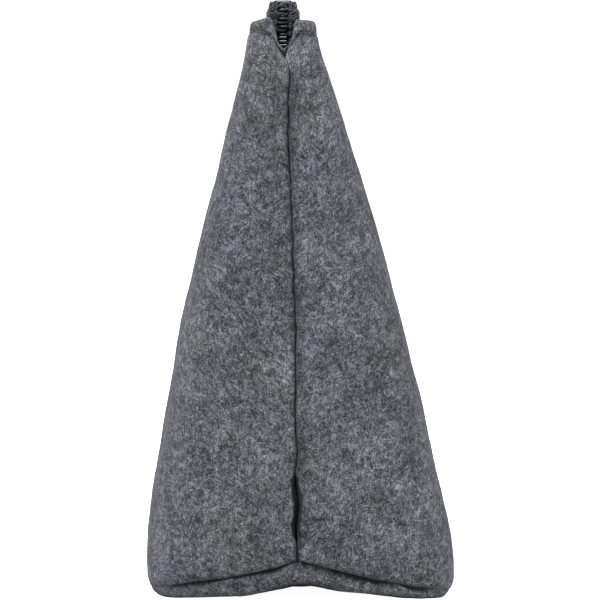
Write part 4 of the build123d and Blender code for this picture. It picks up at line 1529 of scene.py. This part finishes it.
# ------------------------------------------------------------------ floor, light, camera
def floor_material():
    """A pale table that glows for the camera, so that it stays white round the object."""
    shader = Shader("pale_floor")
    cloud = shader.noise(shader.object_place(), 5.0, detail=3.0)
    seen = shader.node("ShaderNodeLightPath").outputs["Is Camera Ray"]
    shader.surface({
        "Base Color": shader.mix(cloud, (0.86, 0.86, 0.86), (0.88, 0.88, 0.88)),
        "Roughness": 0.95,
        "Specular IOR Level": 0.05,
        "Emission Color": (1, 1, 1),
        "Emission Strength": shader.times(seen, 0.97),
    })
    return shader.material


def build_world():
    """White to the camera, softer and slightly cool as light."""
    studio = bpy.data.worlds.new("studio")
    bpy.context.scene.world = studio
    studio.use_nodes = True
    nodes, links = studio.node_tree.nodes, studio.node_tree.links
    nodes.clear()
    output = nodes.new("ShaderNodeOutputWorld")
    mix = nodes.new("ShaderNodeMixShader")
    ray = nodes.new("ShaderNodeLightPath")
    links.new(ray.outputs["Is Camera Ray"], mix.inputs[0])
    # mix input, colour and strength: first the light, then what the camera sees
    for i, colour, strength in ((1, (0.97, 0.985, 1.0), 0.515), (2, (1.0, 1.0, 1.0), 1.15)):
        background = nodes.new("ShaderNodeBackground")
        background.inputs["Color"].default_value = (*colour, 1.0)
        background.inputs["Strength"].default_value = strength
        links.new(background.outputs[0], mix.inputs[i])
    links.new(mix.outputs[0], output.inputs[0])


def aim(item, location, target):
    item.location = location
    item.rotation_mode = "QUATERNION"
    direction = Vector(target) - Vector(location)
    item.rotation_quaternion = direction.to_track_quat("-Z", "Y")


def area(name, location, target, size, power, colour=(1, 1, 1)):
    light = bpy.data.lights.new(name, "AREA")
    light.shape = "RECTANGLE"
    light.size, light.size_y = size
    light.energy = power
    light.color = colour
    lamp = bpy.data.objects.new(name, light)
    bpy.context.collection.objects.link(lamp)
    aim(lamp, location, target)


def build_camera():
    data = bpy.data.cameras.new("photo_view")
    camera = bpy.data.objects.new("photo_view", data)
    bpy.context.collection.objects.link(camera)
    data.sensor_width = 36.0
    data.lens = 347.3
    data.clip_start, data.clip_end = 0.05, 100.0
    aim(camera, location=(1.000, -0.00264, 0.0780), target=(0.080, 0.00006, 0.04809))
    bpy.context.scene.camera = camera


bpy.ops.mesh.primitive_plane_add(size=60.0, location=(0, 0, 0))
floor = bpy.context.active_object
floor.name = "floor"
floor.data.materials.append(floor_material())

build_world()
CENTRE = (0, 0, 0.05)
COOL = (0.97, 0.985, 1.0)
area("key_high", (0.54, -0.31, 0.61), (0.06, 0, 0.05), size=(0.26, 0.26), power=6.3)
area("fill_left", (0.35, -1.1, 0.50), CENTRE, size=(0.8, 0.5), power=1.6, colour=COOL)
area("fill_right", (0.45, 1.1, 0.30), CENTRE, size=(0.8, 0.5), power=8.5, colour=COOL)
area("back_top", (-0.5, 0.15, 1.1), CENTRE, size=(0.8, 0.8), power=6.0)
build_camera()

view = bpy.context.scene.view_settings
view.view_transform = "Standard"
view.look = "None"
view.exposure = 0.0
view.gamma = 1.0
